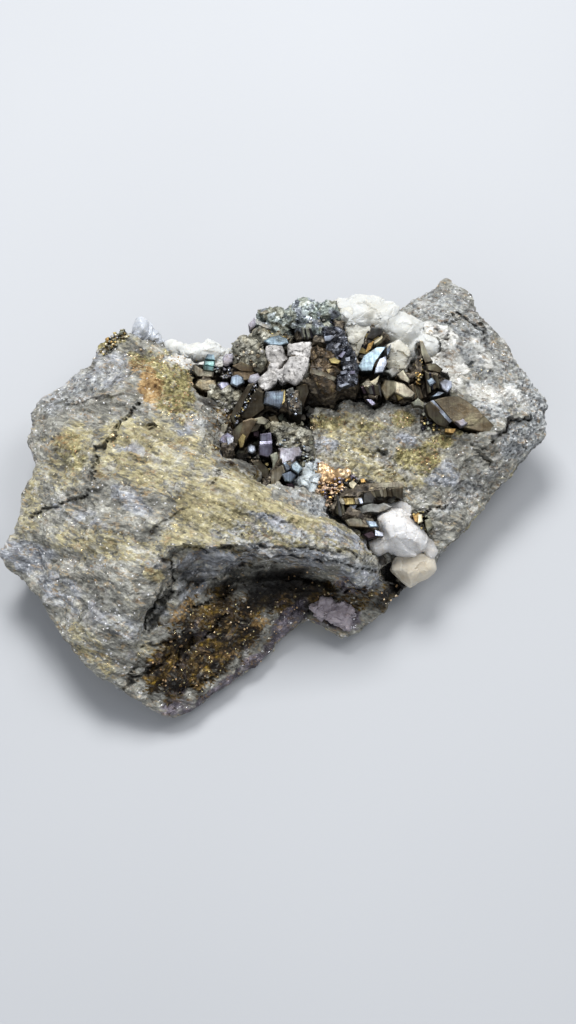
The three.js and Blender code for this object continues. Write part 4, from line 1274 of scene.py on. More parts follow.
@dataclass(frozen=True)
class Bed:
    """A druse of small crystals over an outline on the sheet."""

    outline: Line
    heights: Pair
    tones: tuple[Tone, ...]
    count: int
    size: Pair = (1.6, 4.0)
    tilt: float = 26.0
    deep: float = 3.5

    @staticmethod
    def _holds(shape: Array, place: Array) -> bool:
        """Whether a place is inside an outline."""
        inside = False
        for (ax, ay), (bx, by) in zip(shape, np.roll(shape, -1, 0)):
            if (ay > place[1]) != (by > place[1]) and place[0] < ax + (bx - ax) * (place[1] - ay) / (by - ay):
                inside = not inside
        return inside

    def grow(self, store: MeshStore, chance: np.random.Generator) -> None:
        """Adds every crystal to a mesh."""
        shape = corners_of(self.outline)
        low, high = shape.min(0), shape.max(0)
        made = 0
        while made < self.count:
            place = chance.uniform(low, high)
            if not self._holds(shape, place):
                continue
            made += 1
            sides = int(chance.integers(4, 7))
            radius = chance.uniform(*self.size) / 2
            turns = np.sort(chance.uniform(0, 0.55, sides) + np.arange(sides)) / sides * 2 * math.pi
            squash = chance.uniform(0.6, 1.0)
            end = place + radius * np.stack((np.cos(turns), squash * np.sin(turns)), 1)
            share = (place[1] - low[1]) / max(high[1] - low[1], 1)
            height = self.heights[0] + (self.heights[1] - self.heights[0]) * share + chance.uniform(-0.5, 0.5)
            tone = self.tones[int(chance.integers(len(self.tones)))]
            tip = (chance.uniform(-self.tilt, self.tilt), 6 + chance.uniform(-self.tilt, self.tilt))
            run = (chance.uniform(-2, 2), chance.uniform(0, 3))
            Crystal(end, height, tone, tip, run, self.deep, 0.1).grow(store, chance)


@dataclass
class CrystalCluster:
    """Crystals grown together, in one piece."""

    name: str
    nodes: tuple[str, ...]
    crystals: tuple[Crystal | Stack | Bed, ...]
    seed: int
    slot: str = "cubanite"
    finish: CrystalFinish = CrystalFinish()

    def build(self) -> bpy.types.Object:
        """Builds and dresses the cluster."""
        store = MeshStore()
        chance = np.random.default_rng(self.seed)
        for crystal in self.crystals:
            crystal.grow(store, chance)
        piece = store.finish(self.name, self.finish.material())
        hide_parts(*self.nodes)
        return piece


HOLLOW = (
    # dark roots under everything
    Bed((205, 380, 262, 385, 312, 385, 314, 425, 312, 470, 262, 485, 232, 455, 225, 420, 205, 405),
        (15.6, 15.0), (ROOT, ROOT, DARK, OLIVE), 230, (5, 10), 18, 6),
    Bed((216, 390, 240, 390, 232, 412, 222, 424, 214, 410), (17.6, 17.2), (STONE, MAUVE, STONE, DARK),
        60, (2, 5), 28),
    Bed((230, 335, 300, 330, 350, 335, 356, 375, 330, 390, 240, 375), (18.0, 16.8), (ROOT, DARK), 90,
        (5, 10), 18, 6),
    # single crystals in the crown and the saddle
    Crystal((259, 313, 266, 309.5, 270, 312, 264, 315), 22.2, TAN, (0, 10), (0, 3), 4),
    Crystal((248, 324, 254, 317, 257, 323, 250, 330), 22.0, MAUVE, (-10, 12), (0, 5)),
    Crystal((257, 319.5, 272, 325.5, 269, 329, 257, 324), 22.2, STONE, (0, 14)),
    Stack((301, 328, 302, 338, 314, 338.5, 311, 327.5), (23.6, 23.6), (DARK, OLIVE, INK), 6, (0, -8)),
    Bed((292, 309, 303, 306, 326, 312, 338, 319, 332, 328, 308, 326, 296, 321), (23.6, 23.4),
        (STEEL, STONE, SILVER, OLIVE, TWIN), 34, (1.8, 3.6), 30, 1.5),
    Bed((256, 327, 270, 329, 290, 333, 288, 342, 262, 342), (21.6, 21.6), (UMBER, TAN, BRASS, OLIVE), 24,
        (2, 5), 26, 2),
    Crystal((263.5, 341, 270, 337, 279, 335, 287, 338.5, 288.5, 343, 280, 345.5, 269, 344.5), 22.8, CYAN,
        (2, 10), (-2, 4)),
    Bed((235, 345, 246, 340, 258, 343, 265, 352, 263, 366, 247, 367, 236, 360), (21.4, 21.2),
        (OLIVE, STONE, TAN, GREY, UMBER), 34, (2, 5), 24, 2),
    Crystal((232, 366, 241, 362, 254, 367, 252, 372, 240, 371), 20.4, UMBER, (0, -6)),
    # the left steps
    Crystal((193.5, 364, 204, 370, 214, 372, 213, 377, 197, 376.5, 193.5, 372), 18.0, TAN, (0, 10)),
    Crystal((203, 365, 214, 366.5, 213, 371, 203, 370), 19.0, TEAL, (0, 1), (0, 5), 4),
    Crystal((204, 360, 215, 361, 214.5, 366, 204, 364.5), 19.5, TEAL, (0, 15), (0, 3), 4),
    Crystal((207, 354, 214, 354.5, 215, 360, 205, 359), 20.0, CYAN, (0, 7), (0, 3), 4),
    Crystal((194, 384.5, 198, 379, 215, 379.5, 218, 388, 214, 391.5, 201, 390), 18.6, BRONZE, (0, 18),
        (0, 11), 4),
    Crystal((217.5, 384, 221.5, 381.5, 228, 382, 230.5, 385.5, 228.5, 388.5, 221.5, 389.5), 18.8, LILAC,
        (0, 14), (0, 5), 4),
    Crystal((222.5, 358.5, 226.5, 353.5, 232, 353, 235, 356, 233, 362.5, 228, 365.5, 223, 364), 19.0,
        MAUVE, (-4, 18)),
    Crystal((233, 371.5, 251, 369, 256, 372.5, 252, 379, 239, 381.5, 233, 376.5), 19.4, UMBER, (0, 10),
        (0, 5)),
    Crystal((231.5, 376.5, 237, 374, 243, 376.5, 244.5, 383, 237, 387, 230.5, 384), 20.0, STEEL, (0, 14)),
    Crystal((250, 375, 258, 373, 261, 378, 254, 384, 248, 381), 20.0, MAUVE, (0, 16), (0, 3)),
    Bed((214, 366, 232, 367, 232, 378, 216, 379), (18.2, 18.2), (STONE, MAUVE, SILVER, DARK), 26, (2, 4),
        28),
    # the long blade and its dark companion
    Crystal((258, 389, 264, 392, 265, 409, 250, 420, 241, 419, 247, 400), 20.6, BROWN, (12, -12), (0, 5)),
    Crystal((229.5, 417, 239, 398, 248, 384, 254, 383, 244, 402, 234, 427), 21.4, BROWN, (-20, 0),
        (0, 3), 4),
    Bed((254, 383, 259, 386, 250, 400, 239, 419, 233, 428, 236, 416, 246, 398), (21.9, 21.6),
        (BRASS, TAN, SILVER, BROWN), 60, (1.4, 3), 34, 1.5),
    # steel cube
    Crystal((265.5, 391.5, 284.5, 390, 284, 403, 279, 408.5, 263.5, 403.5), 21.9, STEEL, (-3, 12),
        (0, 5), 6, 0.3),
    Crystal((281, 389.5, 285.5, 389.5, 285, 403, 282, 405), 22.0, BRASS, (14, 14), (0, 3), 4),
    # pillar
    Crystal((296.5, 387, 308, 382, 309.5, 392, 303, 408, 297, 400), 20.2, BROWN, (18, -4), (0, 8)),
    Crystal((286.5, 389.5, 293, 387, 297, 397, 302, 402, 302, 414, 293, 414, 287, 408), 21.2, DARK,
        (4, 8), (-1, 14)),
    Bed((286.5, 389.5, 293, 387, 301, 402, 301, 413, 294, 415, 287, 405), (21.8, 21.2),
        (STEEL, STONE, SILVER, DARK), 40, (1.6, 3.4), 34, 1.5),
    # the curved golden-brown ridge
    Crystal((243, 421, 252, 418, 258, 420, 252, 430, 243, 446, 238, 440), 20.3, UMBER, (10, -6), (1, 4)),
    Crystal((232, 431, 238, 424, 244, 421, 240, 435, 236, 449, 232, 441), 20.0, BRONZE, (-10, -2)),
    Crystal((238, 440, 243, 433, 246, 436, 243, 447, 240, 448), 20.7, BRASS, (12, 6), (0, 3), 3, 0.1),
    Crystal((253, 419, 262, 416.5, 269, 420, 266, 425, 256, 424), 20.5, TAN, (0, 2), (0, 4), 4),
    Crystal((251, 425, 262, 424, 258, 431, 250, 433), 19.8, BROWN, (6, -10)),
    Crystal((264, 424, 270, 421, 272, 427, 266, 430), 19.6, BRONZE, (8, 8)),
    Crystal((267, 417, 276, 414, 279, 421, 272, 425), 18.6, BRONZE, (0, 4)),
    # prisms on the lower left
    Crystal((215, 432, 222, 424, 228, 424, 226, 431, 220, 436, 217, 443), 19.6, TAN, (-14, 12), (0, 5)),
    Crystal((219, 441, 222.5, 435, 228, 432.5, 234, 436.5, 233.5, 442, 226.5, 446.5), 21.6, LILAC,
        (4, 10), (2, 9)),
    Crystal((226, 437, 234, 436.5, 233.5, 442, 228, 445), 21.8, SILVER, (12, 14), (0, 3), 3, 0.1),
    Crystal((247.5, 446.5, 250.5, 444, 255, 446, 256, 450.5, 252, 453.5, 248, 451.5), 19.0, SILVER,
        (0, 11), (0, 4), 4),
    Crystal((260, 434, 271, 432.5, 272, 441, 260, 442), 19.9, VIOLET, (0, 0), (0, 2), 4),
    Crystal((259.5, 441.5, 272, 440.5, 272, 444, 259.5, 444.5), 19.6, LILAC, (0, 16), (0, 2), 4, 0.08),
    Crystal((259, 445, 272, 444, 272.5, 453, 268.5, 458, 259, 455.5), 19.3, VIOLET, (0, 4), (0, 4), 5),
    Crystal((253, 429, 260, 431, 259, 438, 253, 436), 18.8, PLUM, (0, 10), (0, 3)),
    # the steel group
    Crystal((278, 448, 299, 446.5, 301, 455.5, 294, 460.5, 285, 464.5, 280, 458), 20.5, MAUVE, (-2, 10),
        (1, 7)),
    Crystal((290.5, 464.5, 296.5, 460.5, 302.5, 467, 298, 473.5, 291.5, 469.5), 21.2, CYAN, (0, 16),
        (0, 4), 4),
    Crystal((283, 463, 292, 460, 293, 468, 286, 472), 20.4, STEEL, (0, 10)),
    Crystal((281.5, 474.5, 290.5, 471, 296.5, 474.5, 291.5, 482.5, 285, 481), 20.2, STEEL, (0, 4),
        (0, 6)),
    Crystal((271, 471, 282.5, 464.5, 285, 472, 276, 485, 270, 487), 19.4, TAN, (-12, 2), (0, 5)),
    Crystal((251, 461, 258.5, 459.5, 268.5, 469.5, 270, 483.5, 258.5, 473.5), 18.6, BROWN, (-10, -4),
        (0, 5)),
    Crystal((270, 455, 277, 452, 280, 462, 273, 469), 19.0, OLIVE, (8, 0), (0, 5)),
    Bed((246, 456, 262, 458, 274, 470, 272, 486, 258, 474), (17.8, 17.2), (BROWN, BRASS, DARK), 34,
        (2, 5), 30),
    Bed((272, 424, 296, 426, 312, 440, 312, 470, 300, 468, 280, 450), (18.2, 18.0),
        (STONE, OLIVE, STONE, DARK), 90, (3, 7), 26, 5),
    Bed((276, 426, 296, 428, 308, 440, 308, 462, 300, 462, 280, 448), (18.8, 18.6),
        (STONE, OLIVE, STEEL), 70, (1.6, 3.6), 30, 2),
    Crystal((286, 484, 292, 482, 296, 489, 290, 492), 19.2, PLUM, (0, 4)),
    # bright facets on the striated twin, painted in lighter colours as painted highlights
    Crystal((324, 336.5, 332, 335, 335, 337, 330, 341, 325, 341), 25.1, SILVER, (-4, 6), (0, 3), 2, 0.12),
    Crystal((333, 346, 338, 342.5, 341, 343.5, 336, 350), 25.2, SILVER, (2, 8), (0, 3), 2, 0.12),
    Crystal((338, 356, 343, 351, 346, 352, 342, 358), 25.2, LILAC, (2, 8), (0, 3), 2, 0.12),
    Crystal((345, 358, 350, 356.5, 350, 361, 346, 361.5), 25.0, SILVER, (4, 8), (0, 2), 2, 0.1),
    Crystal((340, 371.5, 347, 370, 346, 373.5, 341, 374.5), 24.9, SILVER, (-4, 6), (0, 2), 2, 0.08),
    Crystal((350, 371, 355, 370.5, 355, 374, 350, 374.5), 24.9, LILAC, (4, 6), (0, 2), 2, 0.08),
    Crystal((338.5, 385.5, 347, 382.5, 350, 384, 341, 387.5), 24.3, SILVER, (0, 8), (0, 2), 2, 0.08),
    Crystal((329, 359, 335, 357.5, 341, 361, 338, 364, 331, 363), 24.4, BRASS, (0, 4), (0, 2), 2, 0.1),
    Crystal((310, 369, 318, 370, 328, 373.5, 336, 377.5, 334, 381, 322, 376.5, 310, 373), 24.1, TAN,
        (-4, 4), (0, 3), 2, 0.14),
)

LOWER = (
    Bed((335, 490, 370, 484, 404, 486, 404, 502, 372, 506, 345, 518, 335, 512), (17.0, 16.5),
        (ROOT, BROWN, DARK), 60, (4, 8), 14, 4),
    Crystal((370, 488, 371, 483.5, 404, 481.5, 403.5, 487), 19.6, TAN, (0, 10), (0, 3), 4, 0.1),
    Stack((369, 488.5, 372, 498, 392, 497, 391, 488), (19.2, 19.2), (BRONZE, BROWN, TAN), 5, (0, -6),
        (0, 3)),
    Crystal((391, 488, 403.5, 487, 403, 499, 392, 496), 19.3, BROWN, (6, -8), (0, 3)),
    Crystal((363, 493, 370, 489, 375, 498, 373, 503, 363, 504), 18.6, DARK, (-8, 4)),
    Stack((338, 498, 341, 504.5, 362, 504, 361, 497.5), (19.4, 19.4), (TAN, BRASS, TAN), 3, (0, 10),
        (0, 4), 4, 0.3, 0.5),
    Crystal((358, 498, 362, 498, 363, 503.5, 360, 504), 19.8, SILVER, (10, 12), (0, 2), 3, 0.08),
    Stack((334, 494, 336, 514, 346, 517, 341, 497), (18.4, 18.6), (BROWN, BRONZE, DARK), 5, (-6, 0)),
    Crystal((345, 520, 357, 516, 372.5, 518.5, 377.5, 526, 368, 527.5, 349, 526), 19.6, TAN, (0, 6),
        (0, 4), 4),
    Crystal((366, 520, 376, 521, 379, 527, 370, 527), 19.9, STEEL, (10, 14), (0, 3), 3),
    # painted glint: a small silver crystal
    Crystal((375, 529.5, 383.5, 533, 383.5, 536.5, 375, 535.5), 19.4, SILVER, (0, 15), (0, 2), 3, 0.1),
    Crystal((362, 534, 372.5, 530.5, 377.5, 536.5, 368, 539), 18.9, PLUM, (0, 12), (0, 3), 3),
    Crystal((356, 508.5, 372, 503.5, 384, 503, 392, 507, 378, 512.5, 360, 514), 17.8, STONE, (0, -4),
        (0, 4), 3),
    Crystal((349, 505, 357, 504, 355, 509, 349, 512), 18.4, SILVER, (0, 14), (0, 3), 3),
)

FAN = (
    Bed((360, 345, 386, 340, 388, 372, 380, 400, 362, 396), (18.5, 17.0), (ROOT, DARK), 50, (4, 8), 14,
        4),
    Stack((358, 357, 365, 358, 382, 336, 368, 330), (22.6, 23.6), (DARK, BRASS, INK, BROWN), 7, (-10, 8),
        (-1, 3), 4, 0.4, 1.6),
    Crystal((366, 338, 371.5, 327, 382, 328, 382, 334, 372, 340), 24.2, DARK, (0, 0), (-2, 5)),
    Crystal((365.5, 352.5, 368, 344, 374.5, 340, 371, 349), 24.0, GOLD, (0, 12), (0, 3), 3, 0.1),
    Crystal((372, 342, 382, 335.5, 382, 338.5, 374.5, 344), 24.2, CREAM, (0, 12), (0, 3), 3, 0.08),
    Crystal((358, 366.5, 364, 355.5, 377, 347, 386, 346.5, 374.5, 363, 372, 370.5, 361.5, 371), 23.2,
        CYAN, (6, 16), (0, 5), 4, 0.12),
    Crystal((375.5, 368, 379.5, 359, 386, 355.5, 387, 363, 383, 372, 374.5, 373), 22.8, SILVER, (0, 15),
        (0, 5), 4, 0.12),
    Crystal((386.5, 349, 391, 343.5, 390, 351.5, 387, 356), 22.6, STEEL, (0, 12), (0, 4), 3, 0.08),
    Crystal((369, 382, 379.5, 375, 375, 386), 22.0, CREAM, (0, 14), (0, 3), 3, 0.1),
    Stack((361, 386, 364, 394, 382, 397, 380, 384), (21.2, 20.8), (PLUM, BROWN, DARK), 6, (4, -4),
        (0, 4), 4, 0.4, 1.4),
    Crystal((361, 384, 368, 378, 373, 384, 366, 389), 21.6, TAN, (-10, 14)),
    # painted glint: a small lilac crystal
    Crystal((366, 399, 371, 399, 376, 403.5, 372, 405.5), 19.8, LILAC, (0, 15), (0, 2), 3, 0.1),
)

BRONZE_ROW = (
    Bed((382, 376, 430, 362, 446, 372, 446, 394, 424, 404, 384, 400), (18.4, 17.0), (ROOT, BROWN), 70,
        (4, 8), 14, 4),
    Crystal((380, 388.5, 384.5, 379.5, 395, 381, 402, 388, 395, 392, 386, 400), 21.2, BRONZE, (-8, 8),
        (0, 5)),
    Crystal((395, 381, 404, 383, 416, 393.5, 412.5, 397.5, 405, 397.5, 395, 392), 21.4, TAN, (10, 16)),
    Crystal((395, 392.5, 403, 392, 406, 398, 398, 401), 20.0, BRASS, (0, -10), (0, 3)),
    Crystal((397, 374.5, 403.5, 369.5, 410, 379.5, 409, 383.5, 400, 379.5), 21.8, TAN, (4, 12)),
    Crystal((384, 371, 394, 366, 399, 372, 392, 377), 20.6, STONE, (0, 10)),
    Crystal((419.5, 340, 423, 341, 428, 354, 433, 361.5, 425, 363, 421.5, 354), 22.2, TAN, (-8, 8),
        (0, 4), 4, 0.12),
    Bed((415, 362, 421.5, 359, 423, 372, 419, 388, 415, 381), (22.2, 21.4), (BRASS, TAN, GOLD), 40,
        (1.6, 3.6), 34, 2),
    Crystal((425.5, 364, 435.5, 363, 443, 369, 440.5, 373, 427, 370), 22.0, BRONZE, (0, 10)),
    Stack((424, 372, 427, 394, 440, 388, 437, 374), (21.4, 20.8), (BROWN, BRONZE, INK, UMBER), 6,
        (6, -6), (0, 4), 4, 0.5, 1.6),
    Crystal((439.5, 382, 444.5, 379, 451.5, 381, 452, 386, 447, 392, 442, 388.5), 22.4, SILVER, (-4, 14),
        (0, 6), 4, 0.2),
    Crystal((426, 380, 432, 377, 436, 382, 430, 386), 21.9, STEEL, (0, 16), (0, 3)),
    Crystal((411.5, 402, 418, 397.5, 424, 402.5, 424, 407.5, 414, 406), 20.0, OLIVE, (0, 10)),
    Crystal((430.5, 397, 438, 391, 446, 392, 439.5, 396), 21.2, STEEL, (0, 14), (0, 3)),
    Stack((408, 384, 412, 400, 424, 398, 420, 386), (20.4, 19.8), (BROWN, UMBER, BRONZE), 5, (0, -4),
        (0, 4), 4, 0.4),
)

WEDGE = (
    Crystal((425, 405, 430, 401, 440, 410, 450, 422, 446, 428, 437, 425, 428, 416), 20.9, BROWN,
        (-18, -14), (0, 4), 5),
    # painted highlight: a thin silver strip along the wedge's left edge
    Crystal((430, 401, 433.5, 400, 452, 421, 449.5, 423), 21.7, SILVER, (-6, 8), (0, 2), 3, 0.08),
    Crystal((433.5, 400, 446, 396.5, 459, 396, 468, 401.5, 477, 408, 484, 416, 474, 425, 463, 427,
        451.5, 421), 21.0, SMOOTH, (6, 6), (0, 5), 5, 0.2),
    Crystal((470, 412, 484, 415.5, 495, 426, 493, 434, 482, 432, 464, 427), 19.6, SMOOTH, (10, 2),
        (0, 4), 4, 0.2),
    Crystal((455, 421, 463, 418.5, 468, 423, 461, 426.5), 21.6, MAUVE, (4, 8), (0, 2), 2, 0.12),
    # painted glint: a small gold crystal
    Crystal((445, 428.5, 456, 428.5, 453.5, 433, 445, 432), 19.8, GOLD, (0, 9), (0, 3), 3, 0.1),
    Bed((421, 412, 430, 414, 442, 426, 440, 433, 422, 430), (19.0, 18.0), (BROWN, OLIVE, BRASS, INK), 40,
        (2, 4.5)),
)

COPPER = (
    Bed((314, 464, 326, 461, 330, 476, 342, 478, 346, 490, 330, 499, 316, 492), (18.4, 18.0),
        (PEACH, GOLD, PEACH, VIOLET), 150, (1.8, 4.4), 32, 3),
    Bed((330, 470, 352, 472, 358, 480, 344, 484, 332, 480), (18.0, 17.8), (VIOLET, UMBER, GOLD), 40,
        (1.8, 4), 30, 3),
    Bed((316, 490, 330, 496, 334, 508, 324, 506, 316, 500), (17.6, 17.4), (UMBER, BROWN, PEACH), 40,
        (2, 5), 28, 3),
    Crystal((349, 483, 353, 480, 357, 484, 353, 489), 18.8, CREAM, (0, 12), (0, 3), 3, 0.1),
    Crystal((360, 479, 364, 478, 366, 482, 361, 483), 18.8, GOLD, (0, 15), (0, 2), 3, 0.1),
    Crystal((356, 488, 359, 487, 360, 491, 357, 492), 18.6, SILVER, (0, 14), (0, 2), 3, 0.1),
    Bed((345, 478, 368, 480, 366, 492, 348, 496), (17.6, 17.4), (BRONZE, BROWN, TAN, DARK), 60, (2, 5),
        28, 3),
)

EDGE = (
    Bed((103, 346, 108, 337, 114, 333, 124, 329, 129, 336, 120, 343, 110, 349), (16.6, 16.8),
        (CREAM, GOLD, OLIVE, BRASS, TAN), 70, (1.8, 4.5), 30, 3),
    Bed((98, 352, 106, 345, 116, 346, 108, 356), (16.4, 16.4), (OLIVE, STONE, BRASS), 24, (1.6, 3.6), 26,
        3),
)

KNOT = (
    Bed((411, 514, 420, 510, 432, 518, 434, 530, 424, 530, 414, 523), (17.6, 17.0),
        (OLIVE, BROWN, BRASS), 40, (2.5, 5)),
    Crystal((413, 515, 418, 512, 423, 516, 420, 523, 415, 521), 19.2, GOLD, (0, 12), (0, 4), 4),
    Crystal((418, 515, 422, 514, 423, 521, 418, 523), 19.5, CREAM, (6, 15), (0, 3), 3, 0.1),
    Crystal((425, 520, 431, 518, 434, 526, 428, 531), 18.2, OLIVE, (8, 6), (0, 4), 4),
)


class Form(Enum):
    """How a pebble rises: shares of its outline, each with its lift, from its top to its foot."""

    ROUND = ((0.22, 1.0), (0.5, 0.9), (0.76, 0.64), (0.94, 0.26), (1.0, -0.1), (0.9, -0.6), (0.6, -1.0))
    BLOCK = ((0.86, 1.0), (0.98, 0.8), (1.0, 0.2), (1.0, -0.4), (0.85, -1.0))
    SPIRE = ((0.1, 1.0), (0.4, 0.7), (0.72, 0.36), (1.0, 0.0), (1.0, -0.5), (0.8, -1.0))


@dataclass(frozen=True)
class Pebble:
    """A lump, by its outline on the sheet, its height, and how far it rises and goes in.

    tip is the degrees its top turns right and up from the viewer.
    """

    outline: Line
    height: float
    rise: float
    deep: float = 5.0
    form: Form = Form.ROUND
    tip: Pair = (0.0, 0.0)

    def grow(self, store: MeshStore) -> None:
        """Adds the lump to a mesh as one closed body."""
        centre, normal, rim = SHEET.rim(corners_of(self.outline), self.height, self.tip)
        corners = []
        for share, lift in self.form.value:
            raised = normal * lift * self.rise if lift > 0 else -SHEET.along * lift * self.deep
            corners += [Vector(c) for c in (rim - centre) * share + centre + raised]
        faces = tube_faces(len(rim), len(self.form.value))
        each, flat = len(corners), len(faces)
        store.add(corners, [(0.0, 0.0, 0.0)] * each, [0.0] * each, faces, [(1.0,) * 4] * flat, [0.0] * flat)


@dataclass
class BrokenBody:
    """Packed lumps or pebbles rebuilt in fine cells and broken into small faces."""

    name: str
    nodes: tuple[str, ...]
    finish: CalciteFinish | CrustFinish
    slot: str = "calcite"
    pebbles: tuple[Pebble, ...] = ()
    cell: float = 0.28
    swell: float = 0.2
    breaks: tuple[tuple[float, float, float], ...] = ((4.2, 0.4, 0.45), (1.9, 0.1, 0.3))
    sugar: float = 0.05
    ease: int = 4

    def _start(self) -> bpy.types.Object:
        """The rough body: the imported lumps, or the pebbles where there are any."""
        if not self.pebbles:
            return copied(self.name, self.nodes)
        store = MeshStore()
        for pebble in self.pebbles:
            pebble.grow(store)
        return store.finish(self.name, self.finish.material())

    def build(self) -> bpy.types.Object:
        """Builds and dresses the body."""
        piece = remeshed(self._start(), self.cell, self.ease)
        mesh = piece.data
        points, normals = surface_of(mesh)
        height = self.swell + self.sugar * Noise.layered(points, 1.2, 3, 89)
        for k, (size, hollow, flat) in enumerate(self.breaks):
            ridged, plate = Noise.facets(points, size, 81 + k)
            height += hollow * ridged + flat * plate
        write_points(mesh, points + normals * height[:, None])
        chance = Noise.cells(points, self.breaks[-1][0], 85)[2]
        write_values(mesh, "chip", chance[:, 0])
        write_values(mesh, "cast", chance[:, 1])
        dress(mesh, self.finish.material())
        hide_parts(*self.nodes)
        return piece


NODULE = (
    Pebble((381, 513, 390, 509.5, 401, 509.5, 410, 518, 421, 528, 428, 539, 427, 549, 415, 557, 398, 556,
        386, 551, 382, 538, 378, 528, 377, 519), 14.4, 5.4, 6.0, Form.ROUND, (0, 6)),
    Pebble((369, 542, 377, 536, 386, 536, 389, 550, 378, 556, 371, 551), 14.6, 2.4),
    Pebble((424, 540, 433, 541, 438, 551, 433, 562, 424, 560), 11.6, 1.8),
    Pebble((372, 509, 384, 502, 400, 500, 412, 506, 410, 514, 396, 514, 380, 515), 14.6, 0.6),
)

FOOT = (
    Pebble((389, 570, 395, 558, 409, 553, 424, 553, 433, 558, 435, 569, 427, 578, 410, 587, 401, 581),
        10.0, 3.4),
)

RIM = (
    Pebble((309, 606, 318, 601, 330, 600, 343, 605, 352, 611, 353, 621, 345, 628, 333, 623, 319, 615),
        6.3, 1.1, 3.0, Form.BLOCK, (0, -8)),
    Pebble((330, 612, 343, 612, 350, 620, 344, 630, 334, 625), 5.4, 0.9, 3.0, Form.ROUND, (4, -8)),
)

WALL = (
    Pebble((338, 312, 350, 308, 362, 316, 367, 328, 356, 335, 346, 328), 20.4, 1.4, 6.0, Form.ROUND,
        (0, 6)),
    Pebble((344, 326, 356, 322, 370, 326, 374, 337, 362, 345, 350, 342), 19.4, 1.2, 6.0, Form.BLOCK,
        (0, 4)),
    Pebble((348, 338, 360, 334, 367, 345, 361, 358, 352, 356), 18.8, 1.0, 6.0, Form.BLOCK),
    Pebble((388, 346, 399, 341, 409, 351, 405, 368, 395, 375, 388, 363), 19.4, 0.8, 6.0, Form.BLOCK,
        (4, 0)),
)

QUARTZ = (
    Pebble((133, 338, 135, 327, 140, 318, 146, 320, 150, 328, 154, 338, 147, 343, 138, 342), 15.4, 2.6,
        5.0, Form.SPIRE, (0, 14)),
    Pebble((147, 338, 153, 331, 160, 336, 162, 343, 153, 345), 14.6, 1.4),
)

RIDGES = (
    Pebble((322, 328, 332, 326, 342, 328, 344, 333, 333, 337, 323, 337), 23.6, 1.3),
    Pebble((323, 336, 334, 336, 344, 331.5, 346, 336, 334, 343.5, 325, 344), 23.4, 1.4),
    Pebble((326, 344, 337, 342, 346, 336, 348.5, 341, 338, 348, 329, 351), 23.5, 1.4),
    Pebble((331, 350, 340, 348, 348, 341.5, 351, 347, 341, 354, 334, 357), 23.5, 1.4),
    Pebble((335, 356, 343, 354, 350.5, 348, 353.5, 354, 345, 360, 338, 362), 23.5, 1.3),
    Pebble((339, 361, 347, 360, 353.5, 355, 356.5, 361, 350, 367, 342, 369), 23.5, 1.2),
    Pebble((341, 368, 350, 367, 356.5, 361, 358.5, 368, 357, 376, 344, 376), 23.3, 1.3),
    Pebble((336, 377, 344, 373, 357, 372, 357.5, 379, 355, 386, 338, 389), 22.6, 1.4, 5.0, Form.BLOCK,
        (6, -6)),
)

FACE = (
    Pebble((311, 350, 318, 347, 325, 350, 334, 354, 341, 361.5, 338, 367, 324, 366, 310, 367), 22.8, 0.8,
        5.0, Form.BLOCK, (-6, 4)),
    Pebble((310, 366, 324, 365, 338, 366, 343, 372, 336, 378, 326, 375, 310, 371), 22.7, 0.8, 5.0,
        Form.BLOCK, (-2, 0)),
    Pebble((310, 371, 322, 374, 334, 378, 336, 391, 330, 395, 319, 389, 311, 380), 22.4, 0.9, 5.0,
        Form.BLOCK, (-4, -6)),
)

CROWN = (
    Pebble((258, 314, 266, 309, 279, 309, 290, 312, 297, 322, 288, 329, 272, 327, 261, 321), 20.6, 2.0,
        5.0, Form.ROUND, (-8, 6)),
    Pebble((287, 312, 293, 306, 300, 303, 312, 303, 322, 309, 328, 318, 322, 328, 306, 330, 294, 325),
        21.0, 2.6),
    Pebble((314, 304, 327, 301, 338, 309, 342, 319, 336, 329, 324, 329, 318, 316), 21.2, 2.4, 5.0,
        Form.ROUND, (8, 4)),
    Pebble((299, 303, 303, 299.5, 309, 300.5, 311, 307, 303, 308), 21.4, 1.0),
    Pebble((292, 324, 310, 326, 332, 324, 339, 332, 326, 338, 312, 333, 298, 332), 22.0, 1.6),
    Pebble((256, 322, 268, 324, 286, 329, 292, 336, 276, 339, 258, 332), 20.4, 1.4),
)

SADDLE = (
    Pebble((250, 330, 262, 326, 276, 332, 292, 336, 294, 343, 278, 347, 262, 347, 249, 343), 20.2, 1.2),
    Pebble((233, 345, 243, 339, 256, 342, 264, 350, 267, 360, 262, 368, 246, 369, 235, 361), 20.0, 0.9,
        5.0, Form.BLOCK, (-4, 4)),
    Pebble((272, 424, 292, 424, 306, 434, 314, 450, 313, 468, 300, 470, 284, 456), 17.4, 0.7, 5.0,
        Form.BLOCK),
    Pebble((300, 360, 308.5, 361, 308, 376, 301, 385, 296, 380), 20.8, 1.2),
    Pebble((208, 384, 226, 386, 240, 392, 232, 412, 222, 424, 212, 408), 16.8, 1.2),
)

